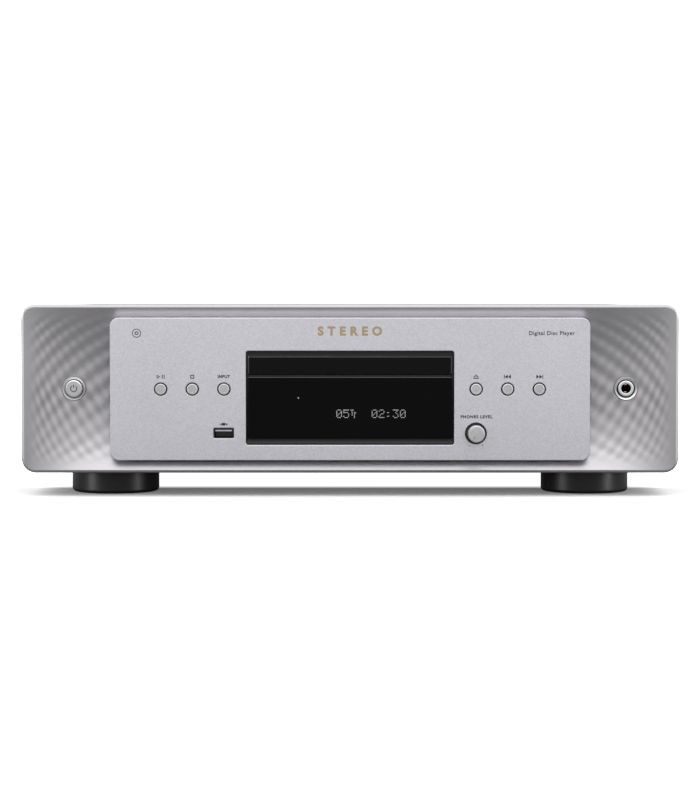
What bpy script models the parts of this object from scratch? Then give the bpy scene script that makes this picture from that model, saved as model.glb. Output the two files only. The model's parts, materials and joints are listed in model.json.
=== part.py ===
"""CD player, a full-width hi-fi component, as its separate parts.

The scene is in metres with +Z up. The front faces -Y, and the feet stand on z = 0.
Sizes and places below are in millimetres, and the shape helpers scale them to metres.
"""

import math

import bmesh
import bpy
from mathutils import Matrix, Vector

MM = 0.001
PI = math.pi

# Casing
FACE_WIDTH = 442.0
FACE_HEIGHT = 113.0
FACE_CORNER = 9.5
FEET_HEIGHT = 16.0
FACE_MID = FEET_HEIGHT + FACE_HEIGHT / 2
COVER_HALF = 219.0
COVER_TOP = 128.0
COVER_FRONT = -175.7
COVER_REAR = 205.5
SHEET = 1.2
COVER_SHEET = 1.0
SHEET_BEND = 3.0
REAR_INSET = 2.0
GAP = 0.3

# Front: places along Y, from the plate's face inwards
PLATE_FRONT = -205.5
PLATE_BACK = -201.5
PANEL_FRONT = -203.5
PANEL_REAR = -176.0
PANEL_WALL = 2.0
CARRIER_FRONT = PLATE_BACK + GAP
CARRIER_BACK = -188.4
BOARD_FRONT = -187.7
BOARD_BACK = -186.1
SUBFRAME_Y = -177.5
BEZEL_FRONT = -195.9
FRONT_CUT = (-210.0, -180.0)

# Front: the dish, the plate and its window
DISH_DEPTH = 12.8
RIM_INSET = 2.0
DISH_REACH = 69.0
DISH_POWER = 2.6
PANEL_OPENING = (306.0, 86.0)
PLATE_SIZE = (322.2, 95.9)
PLATE_CORNER = 6.0
WINDOW_HALF = 69.85
WINDOW_Z = (35.0, 97.6)
DOOR_HALF = 68.15
DOOR_Z = (82.3, 94.4)
DISPLAY_Z = (39.0, 80.7)
WINDOW_FACE = PLATE_FRONT + 1.0

# Front controls
BUTTONS = {
    "play_pause_button": -127.0,
    "stop_button": -105.8,
    "input_button": -84.6,
    "open_close_button": 84.6,
    "previous_button": 105.8,
    "next_button": 127.0,
}
BUTTON_RADIUS = 3.6
BUTTON_HOLE = 4.3
BUTTON_STEM = 2.0
BUTTON_STEM_END = -14.7
POWER_X = -186.4
PHONES_X = 186.3
PHONES_BORE = 3.15
BEZEL_BORE = 6.6
BEZEL_DEPTH = 7.9
BEZEL_HOLE = 8.1
KNOB_X = 84.5
KNOB_Z = FACE_MID - 29.7
KNOB_RADIUS = 5.9
KNOB_PROUD = 10.0
KNOB_STEM = 3.0
KNOB_STEM_END = -12.0
KNOB_START = math.radians(-150)
USB_X = -84.8
USB_Z = FACE_MID - 29.6
USB_HALF = (6.6, 3.2)
USB_WALL = 0.5
USB_HOLE = (6.9, 3.5)

# Loader
SPINDLE_Y = -130.0
TRAY_HALF = 64.0
TRAY_Y = (-198.7, -28.0)
TRAY_Z = (86.6, 91.0)
TRAY_RACK_Z = 83.0
DISC_RECESS = (61.0, 88.6)
SMALL_RECESS = (40.5, 87.8)
TURNTABLE_HOLE = 17.0
PICKUP_SLOT = 16.5
DECK_Y = (-186.0, -30.0)
DECK_Z = (70.0, 72.5)
WALL_X = (66.0, 69.0)
WALL_TOP = 99.0
LEDGE_Z = (82.0, 84.7)
TAB_Z = (91.3, 93.0)
TAB_Y = (-180.0, -120.0, -60.0)
EAR_Y = (-160.0, -60.0)
TRAVERSE_WELL = (-52.0, 52.0, -161.0, -38.0)
RACK_PITCH_X = 52.0
DRIVE_GEAR = (40.0, -171.0)
PULLEY_GEAR = (22.0, -171.0)
LOADING_MOTOR = (-14.0, -173.0)
PULLEY_RADIUS = 10.0
MOTOR_PULLEY_RADIUS = 3.2
BELT_Z = (74.1, 75.5)
BELT_THICK = 1.1
PIN_RADIUS = 1.5
RUNNING_GAP = 0.3

# Cam slide that lowers the traverse
CAM_X = (-50.0, 26.0)
CAM_Y = (-158.5, -156.5)
CAM_Z = (58.0, 77.0)
CAM_TRAVEL = 24.0
CAM_PIN = 1.25
CAM_PIN_X = 20.0
CAM_PIN_Z = 74.0
CAM_DROP = 8.6
CAM_SLOT = 1.75

# Traverse: turntable, pickup and its feed
PIVOT = (0.0, -47.0, 74.0)
TRAVERSE_X = (-45.0, 50.0)
TRAVERSE_Y = (-152.0, -44.0)
TRAVERSE_Z = (73.0, 75.0)
TURNTABLE_Z = (87.2, 89.7)
BOSS_TOP = 92.6
ROD_X = 20.0
ROD_Z = 79.0
ROD_RADIUS = 1.5
LENS_Y = -105.0
FEED_MODULE = 0.8
FEED_RACK_X = 27.0
FEED_GEAR = (36.6, -84.0)
SLED_PINION = (36.6, -97.6)
FEED_Z = (77.7, 81.3)

# Gears
PRESSURE_ANGLE = math.radians(20)
ADDENDUM = 0.85
DEDENDUM = 1.15
BACKLASH = 0.24
DRIVE_MODULE = 1.0
GEAR_TEETH = 24
DRIVE_PINION_TEETH = 12
SLED_PINION_TEETH = 10

# Feet and screws
FOOT_RADIUS = 30.0
FOOT_X = 162.5
FOOT_Y = (-153.0, 150.0)
SCREW_Y = (-150.0, 150.0)
SCREW_Z = 35.0
SCREW_HOLE = 2.1

# Electronics and sockets. The rearmost points are as far from the middle as the knob in front.
BOARD_Z = (26.0, 27.6)
BOARD_POST = 3.0
TRANSFORMER = (-150.0, 60.0)
INLET = (-170.0, 60.0)
ANALOG_JACKS = [(141.0, 60.0), (159.0, 60.0)]
COAX_JACKS = [(92.0, 60.0)]
OPTICAL = (70.0, 60.0)
BARREL_HOLE = 5.2
SOCKET_DEPTH = 14.0
REAR_LIMIT = KNOB_PROUD - PLATE_FRONT

# Finishes: linear base colour, metallic, roughness
FINISHES = {
    "silver": ((0.55, 0.55, 0.58), 0.9, 0.38),
    "bright metal": ((0.75, 0.75, 0.76), 1.0, 0.22),
    "gloss black": ((0.006, 0.006, 0.007), 0.0, 0.12),
    "black plastic": ((0.02, 0.02, 0.022), 0.0, 0.5),
    "rubber black": ((0.012, 0.012, 0.012), 0.0, 0.8),
    "painted black": ((0.03, 0.03, 0.032), 0.3, 0.45),
    "zinc steel": ((0.5, 0.5, 0.49), 1.0, 0.4),
    "grey plastic": ((0.2, 0.2, 0.21), 0.0, 0.55),
    "white plastic": ((0.7, 0.7, 0.66), 0.0, 0.5),
    "circuit board": ((0.02, 0.16, 0.06), 0.0, 0.45),
    "varnished copper": ((0.35, 0.12, 0.03), 0.6, 0.4),
    "lens blue": ((0.05, 0.09, 0.3), 0.0, 0.05),
}

TURN_OF = {
    "+Z": (0.0, 0.0, 0.0),
    "-Y": (PI / 2, 0.0, 0.0),
    "+Y": (-PI / 2, 0.0, 0.0),
    "+X": (0.0, PI / 2, 0.0),
    "-X": (0.0, -PI / 2, 0.0),
}
PRISM_TURN = {"Z": (0.0, 0.0, 0.0), "Y": (PI / 2, 0.0, 0.0), "X": (PI / 2, 0.0, PI / 2)}


# Scene and modifiers


def clear_scene():
    for obj in list(bpy.data.objects):
        bpy.data.objects.remove(obj, do_unlink=True)


def new_collection(name, hidden=False):
    collection = bpy.data.collections.new(name)
    bpy.context.scene.collection.children.link(collection)
    collection.hide_render = hidden
    return collection


def finish(obj, finish_name):
    """Puts a finished part in its collection with a material of its own."""
    colour, metallic, roughness = FINISHES[finish_name]
    material = bpy.data.materials.new(obj.name + "_" + finish_name.replace(" ", "_"))
    material.use_nodes = True
    shader = material.node_tree.nodes["Principled BSDF"]
    shader.inputs["Base Color"].default_value = (*colour, 1.0)
    shader.inputs["Metallic"].default_value = metallic
    shader.inputs["Roughness"].default_value = roughness
    obj.data.materials.append(material)
    PARTS.objects.link(obj)
    return obj


def boolean(target, operation, tools):
    for tool in tools:
        CUTTERS.objects.link(tool)
        tool.hide_render = True
        tool.display_type = "WIRE"
        modifier = target.modifiers.new(operation.title() + " " + tool.name, "BOOLEAN")
        modifier.operation = operation
        modifier.solver = "EXACT"
        modifier.object = tool


def join(target, *tools):
    boolean(target, "UNION", tools)


def cut(target, *tools):
    boolean(target, "DIFFERENCE", tools)


def bevel(obj, width, segments=1):
    modifier = obj.modifiers.new("Edges", "BEVEL")
    modifier.width = width * MM
    modifier.segments = segments
    modifier.limit_method = "ANGLE"
    modifier.angle_limit = math.radians(50)


def smooth(mesh):
    mesh.shade_smooth()
    mesh.set_sharp_from_angle(angle=math.radians(35))


def set_origin(obj, point):
    """Moves an unturned object's origin to a point without moving its shape."""
    target = Vector(point) * MM
    obj.data.transform(Matrix.Translation(obj.location - target))
    obj.location = target


def pivot(name, point, parts):
    """An empty on a joint's axis that carries the parts."""
    empty = bpy.data.objects.new(name, None)
    empty.empty_display_size = 0.02
    empty.location = Vector(point) * MM
    PARTS.objects.link(empty)
    for part in parts:
        part.parent = empty
        part.matrix_parent_inverse = Matrix.Translation(empty.location).inverted()


# Shapes


def mesh_object(name, bm, location=(0.0, 0.0, 0.0), turn=(0.0, 0.0, 0.0)):
    mesh = bpy.data.meshes.new(name)
    bm.to_mesh(mesh)
    bm.free()
    obj = bpy.data.objects.new(name, mesh)
    obj.location = Vector(location) * MM
    obj.rotation_euler = turn
    return obj


def along(axis, place, level):
    """The point at a level on a line along the axis, given the line's two other coordinates."""
    if axis == "Z":
        return (place[0], place[1], level)
    if axis == "Y":
        return (place[0], level, place[1])
    return (level, place[0], place[1])


def box(name, x, y, z):
    bm = bmesh.new()
    bmesh.ops.create_cube(bm, size=1.0)
    size = [(high - low) * MM for low, high in (x, y, z)]
    bmesh.ops.scale(bm, vec=size, verts=bm.verts)
    return mesh_object(name, bm, [(low + high) / 2 for low, high in (x, y, z)])


def cylinder(name, radius, axis, place, span, segments=24):
    bm = bmesh.new()
    bmesh.ops.create_cone(
        bm,
        cap_ends=True,
        segments=segments,
        radius1=radius * MM,
        radius2=radius * MM,
        depth=(span[1] - span[0]) * MM,
    )
    obj = mesh_object(name, bm, along(axis, place, sum(span) / 2), PRISM_TURN[axis])
    smooth(obj.data)
    return obj


def turned(name, profile, location, facing="+Z", segments=32, ring=False):
    """A profile of (radius, height) points, run down its outer side and turned about an axis."""
    mesh = bpy.data.meshes.new(name)
    points = [(radius * MM, 0.0, height * MM) for radius, height in profile]
    edges = [(i, i + 1) for i in range(len(points) - 1)]
    if ring:
        edges.append((len(points) - 1, 0))
    mesh.from_pydata(points, edges, [])
    obj = bpy.data.objects.new(name, mesh)
    obj.location = Vector(location) * MM
    obj.rotation_euler = TURN_OF[facing]
    screw = obj.modifiers.new("Turn", "SCREW")
    screw.steps = segments
    screw.render_steps = segments
    screw.use_merge_vertices = True
    screw.merge_threshold = 0.00001
    return obj


def prism(name, outlines, axis, span, place=(0.0, 0.0)):
    """Flat outlines, the first one outside and the others holes, given a thickness along the axis."""
    curve = bpy.data.curves.new(name, "CURVE")
    curve.dimensions = "2D"
    curve.fill_mode = "BOTH"
    curve.extrude = (span[1] - span[0]) / 2 * MM
    for outline in outlines:
        spline = curve.splines.new("POLY")
        spline.points.add(len(outline) - 1)
        for point, (u, v) in zip(spline.points, outline):
            point.co = (u * MM, v * MM, 0.0, 1.0)
        spline.use_cyclic_u = True
    drawn = bpy.data.objects.new(name + "_outline", curve)
    CUTTERS.objects.link(drawn)
    evaluated = drawn.evaluated_get(bpy.context.evaluated_depsgraph_get())
    mesh = bpy.data.meshes.new_from_object(evaluated)
    bpy.data.objects.remove(drawn)
    bm = bmesh.new()
    bm.from_mesh(mesh)
    bpy.data.meshes.remove(mesh)
    bmesh.ops.remove_doubles(bm, verts=bm.verts, dist=0.000001)
    obj = mesh_object(name, bm, along(axis, place, sum(span) / 2), PRISM_TURN[axis])
    smooth(obj.data)
    return obj


def folded_sheet(name, profile, axis, span, thickness=SHEET):
    """Sheet metal folded along a profile, which is the outer side, on its left as the profile runs."""
    bm = bmesh.new()
    levels = span if axis == "Y" else span[::-1]
    rows = [[bm.verts.new(Vector(along(axis, p, level)) * MM) for p in profile] for level in levels]
    for i in range(len(profile) - 1):
        bm.faces.new((rows[0][i], rows[0][i + 1], rows[1][i + 1], rows[1][i]))
    obj = mesh_object(name, bm)
    solidify = obj.modifiers.new("Thickness", "SOLIDIFY")
    solidify.thickness = thickness * MM
    solidify.offset = -1.0
    solidify.use_even_offset = True
    return obj


# Outlines


def on_circle(centre, radius, angle):
    return (centre[0] + radius * math.cos(angle), centre[1] + radius * math.sin(angle))


def circle(radius, centre=(0.0, 0.0), count=24):
    return [on_circle(centre, radius, 2 * PI * i / count) for i in range(count)]


def rectangle(x, y):
    return [(x[0], y[0]), (x[1], y[0]), (x[1], y[1]), (x[0], y[1])]


def around(place, half_x, half_y):
    """Rectangle round a place."""
    return rectangle((place[0] - half_x, place[0] + half_x), (place[1] - half_y, place[1] + half_y))


def rounded_rectangle(width, height, radius, centre=(0.0, 0.0), steps=5, spans=(1, 1)):
    """Counterclockwise from the right side's top corner. Spans divide the level and the upright sides."""
    points = []
    reach_x, reach_y = width / 2 - radius, height / 2 - radius
    sides = ((1, 1), (-1, 1), (-1, -1), (1, -1))
    hubs = [(centre[0] + side_x * reach_x, centre[1] + side_y * reach_y) for side_x, side_y in sides]
    for quarter, hub in enumerate(hubs):
        for step in range(steps + 1):
            points.append(on_circle(hub, radius, PI / 2 * (quarter + step / steps)))
        start = Vector(points[-1])
        end = Vector(on_circle(hubs[(quarter + 1) % 4], radius, PI / 2 * (quarter + 1)))
        count = spans[quarter % 2]
        points += [tuple(start.lerp(end, step / count)) for step in range(1, count)]
    return points


def belt_outline(centre_a, radius_a, centre_b, radius_b, steps=12):
    """The line of a taut belt round two pulleys."""
    across = Vector(centre_b) - Vector(centre_a)
    heading = math.atan2(across.y, across.x)
    spread = math.acos((radius_a - radius_b) / across.length)
    points = []
    for i in range(steps + 1):
        angle = heading + spread + (2 * PI - 2 * spread) * i / steps
        points.append(on_circle(centre_a, radius_a, angle))
    for i in range(steps + 1):
        points.append(on_circle(centre_b, radius_b, heading - spread + 2 * spread * i / steps))
    return points


def slot_outline(start, end, radius, steps=5):
    """A straight slot with round ends."""
    heading = math.atan2(end[1] - start[1], end[0] - start[0])
    points = []
    for centre, first in ((end, heading - PI / 2), (start, heading + PI / 2)):
        points += [on_circle(centre, radius, first + PI * i / steps) for i in range(steps + 1)]
    return points


def involute(angle):
    return math.tan(angle) - angle


def gear_outline(teeth, module, phase=0.0):
    """Spur gear with a tooth centred on the phase angle, each flank in two straight steps."""
    pitch = module * teeth / 2
    base = pitch * math.cos(PRESSURE_ANGLE)
    half_tooth = PI / (2 * teeth) - BACKLASH / 4 / pitch
    radii = (pitch - DEDENDUM * module, pitch, pitch + ADDENDUM * module)
    offsets = []
    for radius in radii:
        here = math.acos(min(1.0, base / radius))
        offsets.append(half_tooth + involute(PRESSURE_ANGLE) - involute(here))
    points = []
    for tooth in range(teeth):
        middle = phase + 2 * PI * tooth / teeth
        rising = [(radius, middle - offset) for radius, offset in zip(radii, offsets)]
        falling = [(radius, middle + offset) for radius, offset in reversed(list(zip(radii, offsets)))]
        points += [(r * math.cos(a), r * math.sin(a)) for r, a in rising + falling]
    return points


def rack_outline(pitch_x, gap_y, y, module, back_x, facing):
    """Rack along Y with a tooth gap centred at gap_y. Facing is the way its teeth point along X."""
    pitch = PI * module
    slope = math.tan(PRESSURE_ANGLE)
    tip = pitch_x + facing * ADDENDUM * module
    root = pitch_x - facing * DEDENDUM * module
    half = pitch / 4 - BACKLASH / 4
    first = math.ceil((y[0] - gap_y) / pitch + 0.5)
    last = math.floor((y[1] - gap_y) / pitch - 0.5)
    points = [(back_x, y[1]), (back_x, y[0]), (root, y[0])]
    for tooth in range(first, last + 1):
        middle = gap_y + (tooth - 0.5) * pitch
        wide = half + DEDENDUM * module * slope
        thin = half - ADDENDUM * module * slope
        points += [(root, middle - wide), (tip, middle - thin), (tip, middle + thin), (root, middle + wide)]
    points.append((root, y[1]))
    return points


# Casing


def bottom_chassis():
    """Folded floor with low side walls, two rows of air slots and four screw holes."""
    half = COVER_HALF - COVER_SHEET - 0.5
    wall_top = 46.0
    profile = [(half, wall_top), (half, FEET_HEIGHT), (-half, FEET_HEIGHT), (-half, wall_top)]
    chassis = folded_sheet("bottom_chassis", profile, "Y", (COVER_FRONT, COVER_REAR - 2.5))
    first, pitch, slot_half = 110.0, 9.0, 2.0
    for side in (-1, 1):
        for row in range(6):
            x = side * (first + pitch * row)
            cut(chassis, box("air_slot", (x - slot_half, x + slot_half), (20.0, 80.0), (10.0, 20.0)))
    for y in SCREW_Y:
        cut(chassis, cylinder("screw_hole", SCREW_HOLE, "X", (y, SCREW_Z), (-COVER_HALF, COVER_HALF), 12))
    return finish(chassis, "zinc steel")


def top_cover():
    """Folded cover: top and both sides in one sheet, with round bends."""
    steps = 3
    low = FEET_HEIGHT + 1.8
    profile = [(-COVER_HALF, low)]
    for side, first in ((-1, PI), (1, PI / 2)):
        hub = (side * (COVER_HALF - SHEET_BEND), COVER_TOP - SHEET_BEND)
        profile += [on_circle(hub, SHEET_BEND, first - PI / 2 * i / steps) for i in range(steps + 1)]
    profile.append((COVER_HALF, low))
    cover = folded_sheet("top_cover", profile, "Y", (COVER_FRONT, COVER_REAR), COVER_SHEET)
    across = (-COVER_HALF - 5, COVER_HALF + 5)
    for y in SCREW_Y:
        cut(cover, cylinder("screw_hole", SCREW_HOLE, "X", (y, SCREW_Z), across, 12))
    return finish(cover, "painted black")


def cover_screws():
    """Pan-head screws through the cover's sides into the chassis walls."""
    profile = [(0.0, 1.9), (2.4, 1.9), (3.8, 0.9), (3.8, GAP), (1.7, GAP), (1.7, -7.0), (0.0, -7.0)]
    for side, facing, side_name in ((-1, "-X", "left"), (1, "+X", "right")):
        for y, end_name in zip(SCREW_Y, ("front", "rear")):
            name = "cover_screw_" + side_name + "_" + end_name
            screw = turned(name, profile, (side * COVER_HALF, y, SCREW_Z), facing, 12)
            slot = box("driver_slot", (-3, 3), (-0.5, 0.5), (-1, 1))
            slot.location = Vector((side * (COVER_HALF + 2.0), y, SCREW_Z)) * MM
            cut(screw, slot)
            finish(screw, "painted black")


def feet():
    """Round feet with a chamfered lower edge and a counterbore for the screw."""
    top = FEET_HEIGHT - GAP
    profile = [(0.0, top), (27.0, top), (FOOT_RADIUS, top - 2.0), (FOOT_RADIUS, 1.6)]
    profile += [(FOOT_RADIUS - 1.6, 0.0), (5.0, 0.0), (5.0, 6.0), (0.0, 6.0)]
    for y, end_name in zip(FOOT_Y, ("front", "rear")):
        for side, side_name in ((-1, "left"), (1, "right")):
            foot = turned("foot_" + end_name + "_" + side_name, profile, (side * FOOT_X, y, 0.0), "+Z", 20)
            finish(foot, "rubber black")


def rear_panel():
    """Flat rear panel with its openings for the inlet and the sockets."""
    half = COVER_HALF - COVER_SHEET - GAP
    low, high = FEET_HEIGHT + SHEET + 0.4, COVER_TOP - COVER_SHEET - GAP
    outline = rounded_rectangle(2 * half, high - low, SHEET_BEND, (0.0, (low + high) / 2), 3)
    openings = [around(INLET, 14.3, 10.3)]
    openings += [circle(BARREL_HOLE, place, 16) for place in ANALOG_JACKS + COAX_JACKS]
    openings.append(around(OPTICAL, BARREL_HOLE, BARREL_HOLE))
    front = COVER_REAR - REAR_INSET
    panel = prism("rear_panel", [outline] + openings, "Y", (front, front + SHEET))
    return finish(panel, "painted black")


def front_subframe():
    """Folded steel frame behind the front, open for the loader."""
    bottom = FEET_HEIGHT + 2.4
    top = COVER_TOP - 1.4
    profile = [(SUBFRAME_Y + 11, bottom), (SUBFRAME_Y, bottom), (SUBFRAME_Y, top), (SUBFRAME_Y + 11, top)]
    frame = folded_sheet("front_subframe", profile, "X", (-213.0, 213.0))
    cut(frame, box("loader_opening", (-82, 82), (-190, -160), (40, 104)))
    for x in (-125.0, 125.0):
        cut(frame, box("cable_opening", (x - 25, x + 25), (-190, -172), (50, 95)))
    cut(frame, cylinder("jack_hole", 8.0, "Y", (PHONES_X, FACE_MID), (-190, -160), 16))
    return finish(frame, "zinc steel")


# Front


def dish_depth(x, z):
    """How far the panel's face lies behind its rim: deepest at the plate, shallow towards every edge."""
    reach = min(1.0, max(0.0, (FACE_WIDTH / 2 - RIM_INSET - abs(x)) / DISH_REACH))
    height = min(1.0, abs(z - FACE_MID) / (FACE_HEIGHT / 2 - RIM_INSET))
    return DISH_DEPTH * (1 - (1 - reach) ** 2) * (1 - height**DISH_POWER)


def front_panel():
    """Dished panel with a round rim and side walls, made of rings from its rear edge to the opening."""
    spans = (8, 6)

    def ring(width, height, radius):
        return rounded_rectangle(width, height, radius, (0.0, FACE_MID), 4, spans)

    rings = []
    for inset, y in ((0.0, PANEL_REAR), (0.0, PANEL_FRONT + 1.7), (0.7, PANEL_FRONT + 0.3)):
        outline = ring(FACE_WIDTH - 2 * inset, FACE_HEIGHT - 2 * inset, FACE_CORNER - inset)
        rings.append([(x, y, z) for x, z in outline])
    start = (FACE_WIDTH - 2 * RIM_INSET, FACE_HEIGHT - 2 * RIM_INSET, FACE_CORNER - RIM_INSET)
    end = (*PANEL_OPENING, 2.0)
    for share in (0.0, 0.1, 0.25, 0.45, 0.7, 1.0):
        outline = ring(*(a + (b - a) * share for a, b in zip(start, end)))
        rings.append([(x, PANEL_FRONT + dish_depth(x, z), z) for x, z in outline])
    bm = bmesh.new()
    rows = [[bm.verts.new(Vector(point) * MM) for point in row] for row in rings]
    count = len(rows[0])
    for outer, inner in zip(rows, rows[1:]):
        for i in range(count):
            after = (i + 1) % count
            bm.faces.new((outer[i], outer[after], inner[after], inner[i]))
    panel = mesh_object("front_panel", bm)
    smooth(panel.data)
    solidify = panel.modifiers.new("Wall", "SOLIDIFY")
    solidify.thickness = PANEL_WALL * MM
    solidify.offset = -1.0
    solidify.use_even_offset = True
    for x in (POWER_X, PHONES_X):
        cut(panel, cylinder("bezel_hole", BEZEL_HOLE, "Y", (x, FACE_MID), FRONT_CUT, 20))
    return finish(panel, "silver")


def centre_plate():
    """Flat plate that floats in front of the dish, with openings for the window and the controls."""
    mid = (0.0, FACE_MID)
    window = rectangle((-WINDOW_HALF, WINDOW_HALF), WINDOW_Z)
    holes = [circle(BUTTON_HOLE, (x, FACE_MID), 12) for x in BUTTONS.values()]
    holes.append(circle(KNOB_RADIUS + 1.0, (KNOB_X, KNOB_Z), 16))
    holes.append(around((USB_X, USB_Z), *USB_HOLE))
    outline = rounded_rectangle(*PLATE_SIZE, PLATE_CORNER, mid)
    plate = prism("centre_plate", [outline, window] + holes, "Y", (PLATE_FRONT, PLATE_BACK))
    bevel(plate, 0.4)
    return finish(plate, "silver")


def usb_box(name, half, y):
    """Block round the USB socket's axis."""
    return box(name, (USB_X - half[0], USB_X + half[0]), y, (USB_Z - half[1], USB_Z + half[1]))


def plate_carrier():
    """Moulded carrier behind the plate, hollow at the back, with the window's lining and sloped sill."""
    low, high = FACE_MID - 41.5, FACE_MID + 41.5
    carrier = box("plate_carrier", (-151.5, 151.5), (CARRIER_FRONT, CARRIER_BACK), (low, high))
    pocket_y = (CARRIER_FRONT + 2.0, CARRIER_BACK + 5)
    for side in (-1, 1):
        pocket_x = sorted((side * 73.0, side * 149.5))
        cut(carrier, box("pocket", pocket_x, pocket_y, (low + 2, high - 2)))
    cut(carrier, box("pocket", (-71.5, 71.5), pocket_y, (WINDOW_Z[1] + 2, high - 2)))
    opening_half = WINDOW_HALF - 0.35
    opening_z = (WINDOW_Z[0] + 0.35, WINDOW_Z[1] - 0.35)
    cut(carrier, box("window_opening", (-opening_half, opening_half), FRONT_CUT, opening_z))
    sill = [(CARRIER_FRONT + 0.6, opening_z[0] - 1), (CARRIER_BACK, opening_z[0] - 1)]
    sill += [(CARRIER_BACK, DISPLAY_Z[0] - GAP), (CARRIER_FRONT + 5, DISPLAY_Z[0] - GAP)]
    sill.append((CARRIER_FRONT + 0.6, opening_z[0] + 0.4))
    join(carrier, prism("sill", [sill], "X", (-opening_half - 1, opening_half + 1)))
    for x in BUTTONS.values():
        cut(carrier, cylinder("button_hole", BUTTON_RADIUS + 0.4, "Y", (x, FACE_MID), FRONT_CUT, 12))
    cut(carrier, cylinder("knob_hole", KNOB_RADIUS + 0.6, "Y", (KNOB_X, KNOB_Z), FRONT_CUT, 16))
    cut(carrier, usb_box("usb_hole", USB_HOLE, FRONT_CUT))
    return finish(carrier, "black plastic")


def display_window():
    window = box("display_window", (-68.2, 68.2), (WINDOW_FACE, WINDOW_FACE + 3.0), DISPLAY_Z)
    bevel(window, 0.4)
    return finish(window, "gloss black")


def display_module():
    """Display with a recessed screen, behind the window."""
    module = box("display_module", (-60, 60), (CARRIER_FRONT, CARRIER_BACK), (42, 78))
    cut(module, box("screen_recess", (-54, 54), (-205, CARRIER_FRONT + 0.8), (47, 75)))
    return finish(module, "black plastic")


def tray_door():
    door = box("tray_door", (-DOOR_HALF, DOOR_HALF), (WINDOW_FACE, TRAY_Y[0] - GAP), DOOR_Z)
    bevel(door, 0.5)
    return finish(door, "gloss black")


def push_buttons():
    """Six round buttons. A flange behind the carrier holds each one, and its stem reaches for a switch."""
    flange = PLATE_FRONT - (CARRIER_FRONT + 2.0 + GAP)
    profile = [(0.0, 0.7), (3.2, 0.7), (BUTTON_RADIUS, 0.3), (BUTTON_RADIUS, flange), (4.8, flange)]
    profile += [(4.8, flange - 1.0), (BUTTON_STEM, flange - 1.0), (BUTTON_STEM, BUTTON_STEM_END)]
    profile.append((0.0, BUTTON_STEM_END))
    for name, x in BUTTONS.items():
        button = turned(name, profile, (x, PLATE_FRONT, FACE_MID), "-Y", 12)
        finish(button, "silver")


def power_controls():
    """Round power button with a wide chamfer, in its own ring."""
    at = (POWER_X, BEZEL_FRONT, FACE_MID)
    profile = [(0.0, 0.9), (4.6, 0.9), (5.9, -0.3), (5.9, -5.4)]
    profile += [(BUTTON_STEM, -5.4), (BUTTON_STEM, -6.8), (0.0, -6.8)]
    finish(turned("power_button", profile, at, "-Y", 20), "silver")
    ring = [(BEZEL_BORE, 0.0), (7.8, 0.0), (7.8, -BEZEL_DEPTH), (BEZEL_BORE, -BEZEL_DEPTH)]
    finish(turned("power_bezel", ring, at, "-Y", 20, ring=True), "silver")


def phones_socket():
    """Headphone jack with a blind bore and a metal collar, in its own ring."""
    at = (PHONES_X, BEZEL_FRONT, FACE_MID)
    bottom = -32.0
    profile = [(0.0, bottom), (PHONES_BORE, bottom), (PHONES_BORE, 0.0), (5.0, 0.0), (5.4, -0.4)]
    profile += [(5.4, -6.0), (6.2, -6.0), (6.2, bottom - 3.0), (0.0, bottom - 3.0)]
    finish(turned("phones_jack", profile, at, "-Y", 20), "bright metal")
    ring = [(BEZEL_BORE, 0.0), (7.6, 0.0), (7.6, -BEZEL_DEPTH), (BEZEL_BORE, -BEZEL_DEPTH)]
    finish(turned("phones_bezel", ring, at, "-Y", 20, ring=True), "silver")


def level_knob():
    """Level knob with its stem and a pointer notch, at its minimum."""
    at = (KNOB_X, PLATE_FRONT, KNOB_Z)
    back = -3.0
    profile = [(0.0, KNOB_PROUD), (5.4, KNOB_PROUD), (KNOB_RADIUS, KNOB_PROUD - 0.5), (KNOB_RADIUS, back)]
    profile += [(KNOB_STEM, back), (KNOB_STEM, KNOB_STEM_END), (0.0, KNOB_STEM_END)]
    knob = turned("level_knob", profile, at, "-Y", 24)
    tip = (KNOB_X + 3.9 * math.sin(KNOB_START), KNOB_Z + 3.9 * math.cos(KNOB_START))
    edge = (KNOB_X + 8.0 * math.sin(KNOB_START), KNOB_Z + 8.0 * math.cos(KNOB_START))
    notch_y = (PLATE_FRONT - KNOB_PROUD - 1, PLATE_FRONT - KNOB_PROUD + 0.6)
    cut(knob, prism("pointer", [slot_outline(tip, edge, 0.45, 3)], "Y", notch_y))
    return finish(knob, "silver")


def level_potentiometer():
    """Square control body on the board, with the bore that the knob's stem turns in."""
    span = (PLATE_FRONT + 8.0, BOARD_FRONT - GAP)
    body = box("level_potentiometer", (KNOB_X - 5.5, KNOB_X + 5.5), span, (KNOB_Z - 5.5, KNOB_Z + 5.5))
    bore = (span[0] - 1, PLATE_FRONT - KNOB_STEM_END + RUNNING_GAP)
    cut(body, cylinder("bore", KNOB_STEM + RUNNING_GAP, "Y", (KNOB_X, KNOB_Z), bore, 24))
    return finish(body, "grey plastic")


def usb_socket():
    """USB socket: metal shell with a tongue inside."""
    span = (PLATE_FRONT + 0.2, BOARD_FRONT - GAP)
    shell = usb_box("usb_socket", USB_HALF, span)
    mouth = [half - USB_WALL for half in USB_HALF]
    cut(shell, usb_box("mouth", mouth, (FRONT_CUT[0], span[1] - 4)))
    tongue_y = (span[0] + 1.5, span[1] - 3)
    join(shell, box("tongue", (USB_X - 5.5, USB_X + 5.5), tongue_y, (USB_Z - 0.1, USB_Z + 1.8)))
    return finish(shell, "bright metal")


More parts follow.
